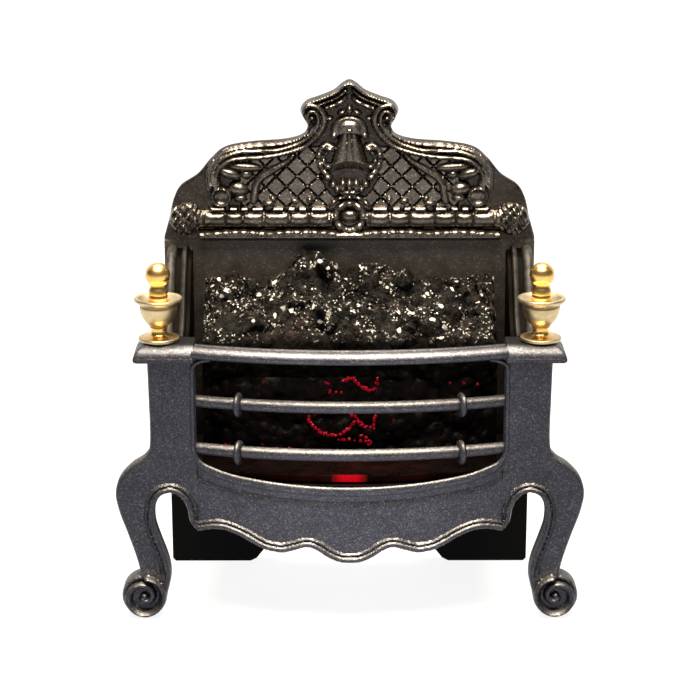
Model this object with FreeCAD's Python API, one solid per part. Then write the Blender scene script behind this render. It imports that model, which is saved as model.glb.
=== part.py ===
import FreeCAD, Part
import math
import os

V = FreeCAD.Vector

# Miniature fire grate at 1:12 scale: a cast front on cabriole legs, a fireback
# with a moulded crest, cheeks between them, and a lift-out coal insert with a
# lamp under it. Units are millimetres. +Z is up and the front faces -Y.
# The origin is on the ground, at the middle of the width and of the depth.

# Cast front
FRONT_Y = -8.9          # front face of the posts
PLATE_T = 1.8           # thickness of the cast front
OPEN_HALF = 19.0        # half the width of the barred opening
BOW = 2.95              # how far the middle of the front bows forward
BOW_R = (OPEN_HALF ** 2 + BOW ** 2) / (2.0 * BOW)
BOW_CENTRE_Y = FRONT_Y - BOW + BOW_R
POST_HALF = 24.8        # outer face of a post
POST_TOP_Z = 33.2
BEAD_W = 0.85           # raised bead along the edges of the casting
BEAD_H = 0.4
FOOT_X = 25.8           # centre of a scrolled foot
FOOT_R = 2.8
FOOT_JOIN = 0.4         # the leg's outer edge meets the foot this far outside its centre
FOOT_T = 2.7            # depth of a scrolled foot
FOOT_FRONT = 0.4        # how far the foot stands proud of the post
VOLUTE_R = 2.2
VOLUTE_TUBE_R = 0.5
EYE_R = 0.95
KNEE_TIP_Z = 11.3       # where the leg meets the apron
RIM_MID_Z = 17.4        # lower rim of the opening, in the middle
RIM_CORNER_Z = 21.2     # where the rim's corner meets the straight side

# Rail, bars and caps
RAIL_Z = 33.6
RAIL_H = 1.5
RAIL_PROUD = 0.9
RAIL_T = 2.7
RAIL_STEP_H = 0.25
RAIL_STEP_PROUD = -0.4  # the step lies behind the rail's rounded nose
RAIL_EDGE_R = 0.5
BAR_R = 0.75
BAR_INSET = 0.65        # bar axis behind the bowed face
UPPER_BAR_Z = 28.1
LOWER_BAR_Z = 22.0
COLLAR_X = 13.7
COLLAR_R = 1.5
COLLAR_W = 0.95
CAP_INNER = 19.2
CAP_OUTER = 26.6
CAP_FRONT = 0.9         # how far a cap overhangs the post
CAP_DEPTH = 6.2
CAP_H = 2.1
CAP_EDGE_R = 1.4        # rounded shoulder along the cap's top
CAP_HOLE_R = 0.6

# Finials
FINIAL_X = 23.5
FINIAL_DEPTH = 2.6      # finial axis behind the posts' front face
PIN_LOW = -1.4          # ends of the pins, above the top of the cap
BALL_PIN_LOW = 3.6
BALL_SEAT = 5.0
CUP_LIP = 5.5
BALL_R = 1.53
BALL_Z = 43.6
PIN_R = 0.55

# Fireback
BACK_DEPTH = 20.0       # fireback's front face behind the posts' front face
BACK_T = 1.6
BACK_FOOT_HALF = 23.6
BACK_HALF = 23.9
SHOULDER_Z = 44.4
CREST_TOP_Z = 64.8
ARCH_FOOT_HALF = 13.2
ARCH_HALF = 8.6
ARCH_SPRING_Z = 5.2
ARCH_TOP_Z = 15.6
RIB_H = 0.7             # raised ribs of the crest
RIB_W = 0.9
BOSS_H = 1.2            # the highest relief
LEDGE_Z = 44.3
LEDGE_H = 0.9
LEDGE_PROUD = 1.0
LEDGE_MARGIN = 4.5      # from the end of the ledge to the side of the panel
BAGUETTE_Z = 46.75
BAGUETTE_R = 1.15
BAGUETTE_SMALL_R = 1.02
BAGUETTE_ENDS = (2.0, 19.2)
BAGUETTE_BEADS = 6
BOSS_X = 21.0           # the rosettes at the ends of the bar
BOSS_R = 2.1
ROSETTE_Z = 47.1
ROSETTE_R = 2.3
ROSETTE_EYE_R = 1.2
ROSETTE_RIM_H = 0.9
SCROLL_EYE = (4.9, 60.6, 1.2, 1.0)      # across, height, radius, relief
CURL = (16.2, 50.2, 1.3, 1.1)           # the same, where the long scroll ends
SHELL_Z = 51.0          # foot of the fan of ribs
SHELL_RIBS = 7
SHELL_SPREAD = 9.0      # degrees between two ribs
SHELL_RIB_L = 9.0
SHELL_RIB_SHORTER = 0.35
SHELL_RIB_R = (0.45, 1.0)

# Cheeks
CHEEK_T = 1.2
CHEEK_X = 20.2          # inner face of a cheek
CHEEK_RIM_W = 3.2
CHEEK_RIM_H = 1.1
CHEEK_FOOT_Z = 15.7
CHEEK_BACK_Z = 43.4
CHEEK_FRONT_DEPTH = 7.1

# Grate bottom
FLOOR_Z = 16.7
FLOOR_T = 1.0
FLOOR_HALF = CHEEK_X
FLOOR_SLOTS = 5
FLOOR_SLOT_W = 1.3
FLOOR_SLOT_PITCH = 3.0
FLOOR_SLOT_L = 7.0
FLOOR_SLOT_FRONT = 9.5  # front end of the slots behind the posts' front face

# Coal insert
COAL_GAP = 0.3
COAL_HALF = 18.6
COAL_FRONT = 8.0        # front face behind the posts' front face
COAL_BACK = BACK_DEPTH - BOSS_H - COAL_GAP
EMBER_TOP_Z = 29.0
EMBER_EDGE_R = 1.2
COAL_FRONT_Z = 32.4
COAL_BACK_Z = 38.6
COAL_BEVEL = 0.8        # slanted front edge of the bank
COAL_CREST_T = 3.0      # depth of the nearly level crest of the bank
COAL_CREST_FALL = 0.4
LUMP_ROWS = 2
LUMP_COLUMNS = 7
LUMP_SIZE = 4.0
LUMP_SHAPE = (1.0, 0.9, 0.85)           # sides of a lump for a size of 1
LUMP_SPLIT = 1.3        # side of the cube that splits off a lump's corners
LUMP_SPREAD = 0.35      # how much the lumps differ in size
LUMP_TILT = 20.0        # degrees
LUMP_TURNS = (25.0, 40.0)               # degrees from one column, and one row, to the next
LUMP_PROUD = 0.5        # centre of a lump above the slope of the bank
LUMP_BACK_GAP = 0.8
HUMP = (-5.0, 7.0, 1.6)                 # middle, half width and height of the heap at the back

# Lamp under the coals
LAMP_Z = 12.8
LAMP_BULB_R = 1.5
LAMP_BULB_L = 6.0
LAMP_HOLDER_R = 2.0
LAMP_HOLDER_FRONT = 12.0
LAMP_HOLDER_L = 9.2
LAMP_CAP_WALL = 0.4
GLAND_R = 1.2
GLAND_BORE_R = 0.5
GLAND_L = 1.0
CLIP_R = 2.8
CLIP_L = 3.0
CLIP_FRONT = 14.0
CLIP_GAP = 2.2
CLIP_STALK_HALF = 1.0
RUNNING = 0.05


def depth_y(depth):
    """Y of a plane at this depth behind the front face of the posts."""
    return FRONT_Y + depth


def box(x0, x1, y0, y1, z0, z1):
    return Part.makeBox(x1 - x0, y1 - y0, z1 - z0, V(x0, y0, z0))


def mirrored(shape):
    return shape.mirror(V(0, 0, 0), V(1, 0, 0))


def spline(points, y=0.0):
    curve = Part.BSplineCurve()
    curve.interpolate([V(x, y, z) for x, z in points])
    return curve.toShape()


def lines(points, y=0.0):
    corners = [V(x, y, z) for x, z in points]
    return [Part.makeLine(a, b) for a, b in zip(corners, corners[1:])]


def front_face(edges):
    """Flat face in the XZ plane from edges given in any order."""
    return Part.Face(Part.Wire(Part.__sortEdges__(edges)))


def prism_y(face, y0, y1):
    moved = face.translated(V(0, y0, 0))
    return moved.extrude(V(0, y1 - y0, 0))


def bowed_shell(proud, inset, z0, z1):
    """Shell that follows the bowed front, from proud of it to inset behind it."""
    centre = V(0, BOW_CENTRE_Y, z0)
    outer = Part.makeCylinder(BOW_R + proud, z1 - z0, centre)
    inner = Part.makeCylinder(BOW_R - inset, z1 - z0, centre)
    shell = outer.cut(inner)
    return shell.common(box(-OPEN_HALF, OPEN_HALF, FRONT_Y - 12, FRONT_Y + 12, z0, z1))


def leg_outer_points():
    join_z = FOOT_R + math.sqrt(FOOT_R ** 2 - FOOT_JOIN ** 2)
    return [(POST_HALF, 22.8), (25.4, 21.1), (27.1, 19.9), (28.6, 18.2), (29.15, 16.2),
            (28.75, 13.8), (27.75, 10.9), (26.75, 7.8), (FOOT_X + FOOT_JOIN, join_z)]


def leg_inner_points():
    return [(FOOT_X - FOOT_R, FOOT_R), (22.45, 5.2), (22.7, 7.5), (23.6, 10.2), (24.25, 12.4),
            (24.25, 14.4), (23.6, 15.8), (22.3, 16.3), (21.1, 15.7), (20.3, 14.3),
            (19.9, 12.4), (OPEN_HALF, KNEE_TIP_Z)]


def apron_points():
    half = [(OPEN_HALF, KNEE_TIP_Z), (17.4, 11.75), (15.7, 11.85), (13.7, 11.2), (12.1, 10.35),
            (10.4, 9.6), (8.4, 9.35), (6.8, 9.75), (5.3, 10.15), (4.1, 9.75),
            (2.9, 8.95), (1.4, 8.3)]
    return half + [(0, 8.15)] + [(-x, z) for x, z in reversed(half)]


def rim_points():
    half = [(OPEN_HALF, RIM_CORNER_Z), (18.55, 20.1), (17.3, 19.35), (14.6, 18.6), (9.8, 17.95),
            (4.9, 17.55)]
    return half + [(0, RIM_MID_Z)] + [(-x, z) for x, z in reversed(half)]


def foot_arc():
    start = leg_outer_points()[-1]
    return Part.Arc(V(start[0], 0, start[1]), V(FOOT_X + FOOT_R, 0, FOOT_R), V(FOOT_X, 0, 0)).toShape()


def foot_inner_arc():
    turn = math.sqrt(0.5) * FOOT_R
    middle = V(FOOT_X - turn, 0, FOOT_R - turn)
    return Part.Arc(V(FOOT_X, 0, 0), middle, V(FOOT_X - FOOT_R, 0, FOOT_R)).toShape()


def leg_face():
    edges = [spline(leg_outer_points()), foot_arc(), foot_inner_arc(), spline(leg_inner_points())]
    edges += lines([(OPEN_HALF, KNEE_TIP_Z), (OPEN_HALF, POST_TOP_Z), (POST_HALF, POST_TOP_Z),
                    (POST_HALF, leg_outer_points()[0][1])])
    return front_face(edges)


def beside(points, distance):
    """The same curve's points, moved sideways by this distance."""
    curve = spline(points)
    moved = []
    for x, z in points:
        way = curve.tangentAt(curve.Curve.parameter(V(x, 0, z)))
        moved.append((x + way.z * distance, z - way.x * distance))
    return moved


def band(points, near, far):
    """Flat face between two lines that run beside a curve."""
    edges = []
    sides = (beside(points, near), beside(points, far))
    for side in sides:
        edges.append(spline(side))
    edges += lines([sides[0][0], sides[1][0]])
    edges += lines([sides[0][-1], sides[1][-1]])
    return front_face(edges)


def make_leg(side):
    """Post with its cabriole leg and scrolled foot, on the left (-1) or right (1)."""
    leg = prism_y(leg_face(), FRONT_Y, depth_y(PLATE_T))
    foot = Part.makeCylinder(FOOT_R, FOOT_T, V(FOOT_X, depth_y(-FOOT_FRONT), FOOT_R), V(0, 1, 0))
    volute = Part.makeTorus(VOLUTE_R, VOLUTE_TUBE_R, V(FOOT_X, depth_y(-FOOT_FRONT), FOOT_R), V(0, 1, 0))
    eye = Part.makeSphere(EYE_R, V(FOOT_X, depth_y(-FOOT_FRONT), FOOT_R))
    arch_bead = prism_y(band(leg_inner_points(), 0, BEAD_W), depth_y(-BEAD_H), FRONT_Y)
    side_lip = box(OPEN_HALF, OPEN_HALF + BEAD_W, depth_y(-BEAD_H), FRONT_Y, RIM_CORNER_Z, POST_TOP_Z)
    arch_bead = arch_bead.common(box(OPEN_HALF, POST_HALF, FRONT_Y - 1, FRONT_Y, FOOT_R, POST_TOP_Z))
    pieces = [leg, foot, volute, eye, side_lip, arch_bead]
    if side < 0:
        pieces = [mirrored(piece) for piece in pieces]
    return pieces[0].fuse(pieces[1:]).removeSplitter()


def apron_face(low, high):
    edges = [spline(low), spline(high)]
    edges += lines([low[0], high[0]])
    edges += lines([low[-1], high[-1]])
    return front_face(edges)


def make_apron():
    """Bowed apron with a wavy lower edge, under the barred opening."""
    low = apron_points()
    rim = rim_points()
    shell = bowed_shell(0.0, PLATE_T, 0.0, POST_TOP_Z)
    proud = bowed_shell(BEAD_H, PLATE_T, 0.0, POST_TOP_Z)
    plate = prism_y(apron_face(low, rim), FRONT_Y - 10, FRONT_Y + 10).common(shell)
    low_bead = apron_face(low, [(x, z + BEAD_W) for x, z in low])
    rim_bead = apron_face([(x, z - BEAD_W) for x, z in rim], rim)
    beads = [prism_y(bead, FRONT_Y - 10, FRONT_Y + 10).common(proud) for bead in (low_bead, rim_bead)]
    return plate.fuse(beads).removeSplitter()


def make_top_rail():
    rail = bowed_shell(RAIL_PROUD, RAIL_T - RAIL_PROUD, RAIL_Z, RAIL_Z + RAIL_H)
    edges = [e for e in rail.Edges if edge_is_front(e)]
    rail = rail.makeFillet(RAIL_EDGE_R, edges)
    step = bowed_shell(RAIL_STEP_PROUD, RAIL_T - RAIL_PROUD, RAIL_Z + RAIL_H, RAIL_Z + RAIL_H + RAIL_STEP_H)
    between_caps = box(-CAP_INNER, CAP_INNER, FRONT_Y - 10, FRONT_Y + 10, 0, POST_TOP_Z + 10)
    return rail.fuse(step).removeSplitter().common(between_caps)


def edge_is_front(edge):
    """True for the two long edges on the bowed front of the rail."""
    radius = getattr(edge.Curve, "Radius", 0.0)
    return abs(radius - (BOW_R + RAIL_PROUD)) < 0.01


def make_bar(z):
    radius = BOW_R - BAR_INSET
    centre = V(0, BOW_CENTRE_Y, z)
    half_turn = math.asin(min(1.0, (OPEN_HALF + 2.0) / radius))
    ends = [V(s * radius * math.sin(half_turn), BOW_CENTRE_Y - radius * math.cos(half_turn), z)
            for s in (-1, 1)]
    path = Part.Arc(ends[0], centre - V(0, radius, 0), ends[1]).toShape()
    start = path.valueAt(path.FirstParameter)
    way = path.tangentAt(path.FirstParameter)
    ring = Part.Wire(Part.makeCircle(BAR_R, start, way))
    bar = Part.Wire(path).makePipeShell([ring], True, True)
    return bar.common(box(-OPEN_HALF, OPEN_HALF, FRONT_Y - 10, FRONT_Y + 10, z - 5, z + 5))


def make_bar_collars():
    """Turned rings, two on each bar."""
    radius = BOW_R - BAR_INSET
    angle = math.asin(COLLAR_X / radius)
    collars = []
    for z in (UPPER_BAR_Z, LOWER_BAR_Z):
        bar = make_bar(z)
        for side in (-1, 1):
            turn = side * angle
            centre = V(radius * math.sin(turn), BOW_CENTRE_Y - radius * math.cos(turn), z)
            way = V(math.cos(turn), math.sin(turn), 0)
            collar = Part.makeCylinder(COLLAR_R, COLLAR_W, centre - way * (COLLAR_W / 2), way)
            collar = collar.makeFillet(COLLAR_W * 0.35, collar.Edges[0:1] + collar.Edges[2:3])
            collars.append(collar.cut(bar))
    return Part.makeCompound(collars)


def make_cap():
    """Right-hand cap with a rounded shoulder, which the finial stands on."""
    front = depth_y(-CAP_FRONT)
    top = POST_TOP_Z + CAP_H
    cap = box(CAP_INNER, CAP_OUTER, front, front + CAP_DEPTH, POST_TOP_Z, top)
    high = [e for e in cap.Edges if e.BoundBox.ZMin > top - 0.01 and edge_shows(e, front)]
    cap = cap.makeFillet(CAP_EDGE_R, high)
    hole = Part.makeCylinder(CAP_HOLE_R, CAP_H, V(FINIAL_X, depth_y(FINIAL_DEPTH), POST_TOP_Z))
    return cap.cut(hole)


def edge_shows(edge, front):
    """True for the edges on the front and outer sides of a cap."""
    centre = edge.BoundBox.Center
    return abs(centre.y - front) < 0.01 or abs(centre.x - CAP_OUTER) < 0.01


def turned(profile, x, foot_z):
    """Solid turned about a vertical axis, from (radius, height) points above foot_z."""
    wire = Part.makePolygon([V(r, 0, z) for r, z in profile + profile[:1]])
    solid = Part.Face(wire).revolve(V(0, 0, 0), V(0, 0, 1), 360)
    return solid.translated(V(x, depth_y(FINIAL_DEPTH), foot_z))


def make_urn():
    """Brass urn: a pin for the cap, a foot disc, a waist and an open cup."""
    profile = [(0, PIN_LOW), (PIN_R, PIN_LOW), (PIN_R, 0.0), (2.3, 0.0), (2.5, 0.1), (2.5, 0.45),
               (2.3, 0.55), (1.6, 0.65), (1.0, 1.2), (1.0, 1.7), (1.15, 1.75), (1.15, 1.95),
               (1.75, 2.55), (2.2, 3.6), (2.32, 4.3), (2.65, 4.75), (2.95, 5.05), (2.95, 5.35),
               (2.85, CUP_LIP), (1.5, CUP_LIP), (1.5, BALL_SEAT), (PIN_R, BALL_SEAT),
               (PIN_R, BALL_PIN_LOW), (0, BALL_PIN_LOW)]
    return turned(profile, FINIAL_X, POST_TOP_Z + CAP_H)


def make_ball():
    """Polished ball with its stem and the pin that enters the urn."""
    profile = [(0, BALL_PIN_LOW), (PIN_R, BALL_PIN_LOW), (PIN_R, BALL_SEAT), (1.2, BALL_SEAT),
               (1.2, 6.4), (0.75, 7.1), (0, 7.1)]
    ball = Part.makeSphere(BALL_R, V(FINIAL_X, depth_y(FINIAL_DEPTH), BALL_Z))
    return turned(profile, FINIAL_X, POST_TOP_Z + CAP_H).fuse(ball).removeSplitter()


def crest_points():
    """Right-hand outline of the crest, from the shoulder to the peak."""
    return [(BACK_HALF, SHOULDER_Z), (23.2, 46.9), (22.6, 49.4), (21.6, 51.2), (19.4, 52.7),
            (17.7, 54.7), (15.8, 56.2), (12.4, 56.85), (8.4, 57.15), (6.1, 57.75),
            (5.35, 58.75), (5.9, 59.9), (6.25, 61.0), (5.5, 62.1), (3.8, 62.75),
            (2.0, 63.5), (0.9, 64.4), (0, CREST_TOP_Z)]


def fireback_outline():
    right = crest_points()
    edges = [spline(right), spline([(-x, z) for x, z in right])]
    half = [(BACK_HALF, SHOULDER_Z), (BACK_FOOT_HALF, 0), (ARCH_FOOT_HALF, 0),
            (ARCH_HALF, ARCH_SPRING_Z)]
    edges += lines(half)
    edges += lines([(-x, z) for x, z in half])
    arch = Part.Arc(V(ARCH_HALF, 0, ARCH_SPRING_Z), V(0, 0, ARCH_TOP_Z), V(-ARCH_HALF, 0, ARCH_SPRING_Z))
    edges.append(arch.toShape())
    return front_face(edges)


def scroll_ribs():
    """Right-hand raised lines of the crest: the long S scroll, its leaf and the roof."""
    face_y = depth_y(BACK_DEPTH)
    outer = [(21.6, 50.2), (19.0, 51.4), (17.0, 53.6), (14.6, 55.4), (11.0, 56.0), (7.2, 56.4),
             (5.0, 57.8), (4.2, 59.6)]
    inner = [(16.9, 50.6), (15.6, 52.6), (13.4, 54.3), (10.4, 55.0), (7.4, 55.5)]
    leaf = [(12.4, 49.6), (11.9, 51.8), (10.2, 53.2), (8.2, 53.4)]
    roof = [(5.2, 61.2), (2.8, 61.9), (1.2, 62.7), (0, 63.6)]
    ribs = [band(points, -RIB_W / 2, RIB_W / 2) for points in (outer, inner, leaf, roof)]
    return [prism_y(rib, face_y - RIB_H, face_y) for rib in ribs]


def boss(x, z, radius, height):
    return Part.makeCylinder(radius, height, V(x, depth_y(BACK_DEPTH) - height, z), V(0, 1, 0))


def baguette():
    """Beaded half-round bar on the right of the rosette."""
    start, end = BAGUETTE_ENDS
    length = (end - start) / BAGUETTE_BEADS
    beads = []
    for index in range(BAGUETTE_BEADS):
        radius = BAGUETTE_R if index % 2 else BAGUETTE_SMALL_R
        place = V(start + index * length, depth_y(BACK_DEPTH), BAGUETTE_Z)
        beads.append(Part.makeCylinder(radius, length, place, V(1, 0, 0)))
    return beads


def shell_ribs():
    """Fan of ribs in the middle of the crest, the longest upright."""
    root = V(0, depth_y(BACK_DEPTH), SHELL_Z)
    ribs = []
    for index in range(SHELL_RIBS):
        step = index - (SHELL_RIBS - 1) / 2
        lean = math.radians(SHELL_SPREAD * step)
        length = SHELL_RIB_L - SHELL_RIB_SHORTER * step ** 2
        way = V(math.sin(lean), 0, math.cos(lean))
        ribs.append(Part.makeCone(SHELL_RIB_R[0], SHELL_RIB_R[1], length, root, way))
    return ribs


def ledge():
    """Moulded ledge under the crest."""
    face_y = depth_y(BACK_DEPTH)
    half = BACK_HALF - LEDGE_MARGIN
    return box(-half, half, face_y - LEDGE_PROUD, face_y, LEDGE_Z, LEDGE_Z + LEDGE_H)


def crest_side():
    """Relief of the right-hand half of the crest."""
    bosses = [(BOSS_X, BAGUETTE_Z, BOSS_R, BOSS_H), SCROLL_EYE, CURL]
    return scroll_ribs() + baguette() + [boss(*size) for size in bosses]


def make_fireback():
    """Fireback casting: a plain panel over an arched foot, and the moulded crest."""
    face_y = depth_y(BACK_DEPTH)
    panel = prism_y(fireback_outline(), face_y, face_y + BACK_T)
    relief = [ledge(), boss(0, ROSETTE_Z, ROSETTE_R, ROSETTE_RIM_H),
              boss(0, ROSETTE_Z, ROSETTE_EYE_R, BOSS_H)]
    relief += shell_ribs() + crest_side() + [mirrored(shape) for shape in crest_side()]
    fronts = box(-BACK_HALF, BACK_HALF, face_y - BOSS_H, face_y, 0, CREST_TOP_Z)
    relief = [shape.common(fronts) for shape in relief]
    return panel.fuse(relief).removeSplitter()


def cheek_top():
    """Depth and height of the S-curved top edge, from the front to the back."""
    return [(CHEEK_FRONT_DEPTH, 34.75), (9.0, 35.5), (11.2, 37.4), (13.4, 40.2), (15.8, 42.5),
            (BACK_DEPTH, CHEEK_BACK_Z)]


def cheek_curve(points):
    curve = Part.BSplineCurve()
    curve.interpolate([V(0, depth_y(d), z) for d, z in points])
    return curve.toShape()


def cheek_panel():
    top = cheek_top()
    corners = [top[-1], (BACK_DEPTH, CHEEK_FOOT_Z), (PLATE_T, CHEEK_FOOT_Z), (PLATE_T, POST_TOP_Z),
               (CHEEK_FRONT_DEPTH, POST_TOP_Z), top[0]]
    edges = [cheek_curve(top)]
    places = [V(0, depth_y(d), z) for d, z in corners]
    edges += [Part.makeLine(a, b) for a, b in zip(places, places[1:])]
    return Part.Face(Part.Wire(Part.__sortEdges__(edges)))


def cheek_rim():
    top = cheek_top()
    low = [(d + 0.3, z - CHEEK_RIM_H) for d, z in top[:-1]]
    low.append((BACK_DEPTH, CHEEK_BACK_Z - CHEEK_RIM_H))
    low[0] = (CHEEK_FRONT_DEPTH, POST_TOP_Z)
    edges = [cheek_curve(top), cheek_curve(low)]
    for pair in ((top[0], low[0]), (top[-1], low[-1])):
        ends = [V(0, depth_y(d), z) for d, z in pair]
        edges.append(Part.makeLine(ends[0], ends[1]))
    return Part.Face(Part.Wire(Part.__sortEdges__(edges)))


def make_cheek():
    """Right-hand cheek: a side plate with a broad moulded rim on its S-curved top."""
    plate = cheek_panel().translated(V(CHEEK_X, 0, 0)).extrude(V(CHEEK_T, 0, 0))
    rim = cheek_rim().translated(V(CHEEK_X, 0, 0)).extrude(V(CHEEK_RIM_W, 0, 0))
    return plate.fuse(rim).removeSplitter()


def make_floor_plate():
    """Grate bottom, slotted over the lamp, its front edge following the apron."""
    centre = V(0, BOW_CENTRE_Y, FLOOR_Z)
    bowed = Part.makeCylinder(BOW_R - PLATE_T, FLOOR_T, centre)
    plate = box(-FLOOR_HALF, FLOOR_HALF, FRONT_Y - 5, depth_y(BACK_DEPTH), FLOOR_Z, FLOOR_Z + FLOOR_T)
    plate = plate.common(bowed)
    for index in range(FLOOR_SLOTS):
        x = (index - (FLOOR_SLOTS - 1) / 2.0) * FLOOR_SLOT_PITCH
        slot = box(x - FLOOR_SLOT_W / 2, x + FLOOR_SLOT_W / 2, depth_y(FLOOR_SLOT_FRONT),
                   depth_y(FLOOR_SLOT_FRONT + FLOOR_SLOT_L), FLOOR_Z, FLOOR_Z + FLOOR_T)
        plate = plate.cut(slot)
    return plate


def coal_section(points):
    places = [V(-COAL_HALF, depth_y(d), z) for d, z in points + points[:1]]
    return Part.Face(Part.makePolygon(places)).extrude(V(2 * COAL_HALF, 0, 0))


def make_ember_block():
    """Clear red block under the coals, which the lamp lights from below."""
    low = FLOOR_Z + FLOOR_T + COAL_GAP
    block = coal_section([(COAL_FRONT, low), (COAL_BACK, low), (COAL_BACK, EMBER_TOP_Z),
                          (COAL_FRONT, EMBER_TOP_Z)])
    front = depth_y(COAL_FRONT) + EMBER_EDGE_R
    upright = [e for e in block.Edges if e.BoundBox.ZLength > EMBER_EDGE_R and e.BoundBox.YMax < front]
    return block.makeFillet(EMBER_EDGE_R, upright)


def make_coal_bed():
    """Sloping bank of coal over the ember block, higher at the back."""
    return coal_section([(COAL_FRONT, EMBER_TOP_Z), (COAL_BACK, EMBER_TOP_Z), (COAL_BACK, COAL_BACK_Z),
                         (COAL_BACK - COAL_CREST_T, COAL_BACK_Z - COAL_CREST_FALL),
                         (COAL_FRONT + COAL_BEVEL, COAL_FRONT_Z), (COAL_FRONT, COAL_FRONT_Z - COAL_BEVEL)])


def block(width, depth, height):
    """Box with its middle at the origin."""
    return Part.makeBox(width, depth, height, V(-width / 2, -depth / 2, -height / 2))


def coal_lump(size, tilt, turn):
    """One broken lump of coal: a box with its corners split off at a slant."""
    lump = block(*[size * side for side in LUMP_SHAPE])
    for axis in (V(1, 0, 0), V(0, 1, 0), V(0, 0, 1)):
        cube = block(*[size * LUMP_SPLIT] * 3)
        cube.rotate(V(0, 0, 0), axis, 45)
        lump = lump.common(cube)
    lump.rotate(V(0, 0, 0), V(1, 0.3, 0), tilt)
    lump.rotate(V(0, 0, 0), V(0, 0, 1), turn)
    return lump


def bank_height(x, depth, row):
    """Height of the lumps' middles: up the slope, with a heap in the back row."""
    rise = (COAL_BACK_Z - COAL_FRONT_Z) / (COAL_BACK - COAL_FRONT)
    height = COAL_FRONT_Z + rise * (depth - COAL_FRONT) + LUMP_PROUD
    if row == LUMP_ROWS - 1:
        middle, half, top = HUMP
        height += top * math.exp(-((x - middle) / half) ** 2)
    return height


def make_coal_lumps():
    """Loose-looking lumps set into the bank in staggered rows."""
    lumps = []
    pitch = 2.0 * (COAL_HALF - LUMP_SIZE / 2) / (LUMP_COLUMNS - 1)
    run = COAL_BACK - COAL_FRONT - LUMP_SIZE - LUMP_BACK_GAP
    for row in range(LUMP_ROWS):
        depth = COAL_FRONT + LUMP_SIZE / 2 + run * row / (LUMP_ROWS - 1)
        count = LUMP_COLUMNS - row % 2
        for column in range(count):
            x = (column - (count - 1) / 2) * pitch
            wave = math.sin(1.7 * column + 2.3 * row)
            turn = LUMP_TURNS[0] * column + LUMP_TURNS[1] * row
            lump = coal_lump(LUMP_SIZE + LUMP_SPREAD * wave, LUMP_TILT * wave, turn)
            height = bank_height(x, depth, row) + LUMP_SPREAD * wave
            lumps.append(lump.translated(V(x, depth_y(depth), height)))
    return Part.makeCompound(lumps)


def along_y(radius, length, depth):
    return Part.makeCylinder(radius, length, V(0, depth_y(depth), LAMP_Z), V(0, 1, 0))


def make_lamp_bulb():
    """Glass envelope of the small lamp, round at the front."""
    front = LAMP_HOLDER_FRONT - LAMP_BULB_L
    stem = along_y(LAMP_BULB_R, LAMP_BULB_L - LAMP_BULB_R, front + LAMP_BULB_R)
    nose = Part.makeSphere(LAMP_BULB_R, V(0, depth_y(front + LAMP_BULB_R), LAMP_Z))
    return stem.fuse(nose).removeSplitter()


def make_lamp_holder():
    """Tube that carries the bulb and slides in the spring clip."""
    tube_solid = along_y(LAMP_HOLDER_R, LAMP_HOLDER_L, LAMP_HOLDER_FRONT)
    hollow = along_y(LAMP_HOLDER_R - LAMP_CAP_WALL, LAMP_HOLDER_L - 1.0, LAMP_HOLDER_FRONT + 1.0)
    return tube_solid.cut(hollow)


def make_lamp_gland():
    """Bush at the back of the holder where the lamp's lead leaves it."""
    back = LAMP_HOLDER_FRONT + LAMP_HOLDER_L
    bush = along_y(LAMP_HOLDER_R - LAMP_CAP_WALL, GLAND_L, back - GLAND_L)
    return bush.cut(along_y(GLAND_BORE_R, GLAND_L, back - GLAND_L))


def make_lamp_clip():
    """Spring clip under the grate bottom that grips the lamp holder."""
    ring = along_y(CLIP_R, CLIP_L, CLIP_FRONT)
    y0 = depth_y(CLIP_FRONT)
    stalk = box(-CLIP_STALK_HALF, CLIP_STALK_HALF, y0, y0 + CLIP_L, LAMP_Z, FLOOR_Z)
    clip = ring.fuse(stalk).cut(along_y(LAMP_HOLDER_R + RUNNING, CLIP_L, CLIP_FRONT))
    gap = box(-CLIP_GAP / 2, CLIP_GAP / 2, y0, y0 + CLIP_L, LAMP_Z - CLIP_R, LAMP_Z)
    return clip.cut(gap)


def build_nodes():
    cap = make_cap()
    cheek = make_cheek()
    urn = make_urn()
    ball = make_ball()
    return {
        "left_leg": make_leg(-1),
        "right_leg": make_leg(1),
        "apron": make_apron(),
        "top_rail": make_top_rail(),
        "upper_bar": make_bar(UPPER_BAR_Z),
        "lower_bar": make_bar(LOWER_BAR_Z),
        "bar_collars": make_bar_collars(),
        "left_cap": mirrored(cap),
        "right_cap": cap,
        "left_cheek": mirrored(cheek),
        "right_cheek": cheek,
        "fireback": make_fireback(),
        "floor_plate": make_floor_plate(),
        "left_urn": mirrored(urn),
        "right_urn": urn,
        "left_ball": mirrored(ball),
        "right_ball": ball,
        "ember_block": make_ember_block(),
        "coal_bed": make_coal_bed(),
        "coal_lumps": make_coal_lumps(),
        "lamp_bulb": make_lamp_bulb(),
        "lamp_holder": make_lamp_holder(),
        "lamp_gland": make_lamp_gland(),
        "lamp_clip": make_lamp_clip(),
    }


os.makedirs("parts", exist_ok=True)
for name, shape in build_nodes().items():
    shape.exportStep(f"parts/{name}.step")
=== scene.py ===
import math

import bmesh
import bpy
import numpy as np
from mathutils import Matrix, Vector
from mathutils.geometry import delaunay_2d_cdt


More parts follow.
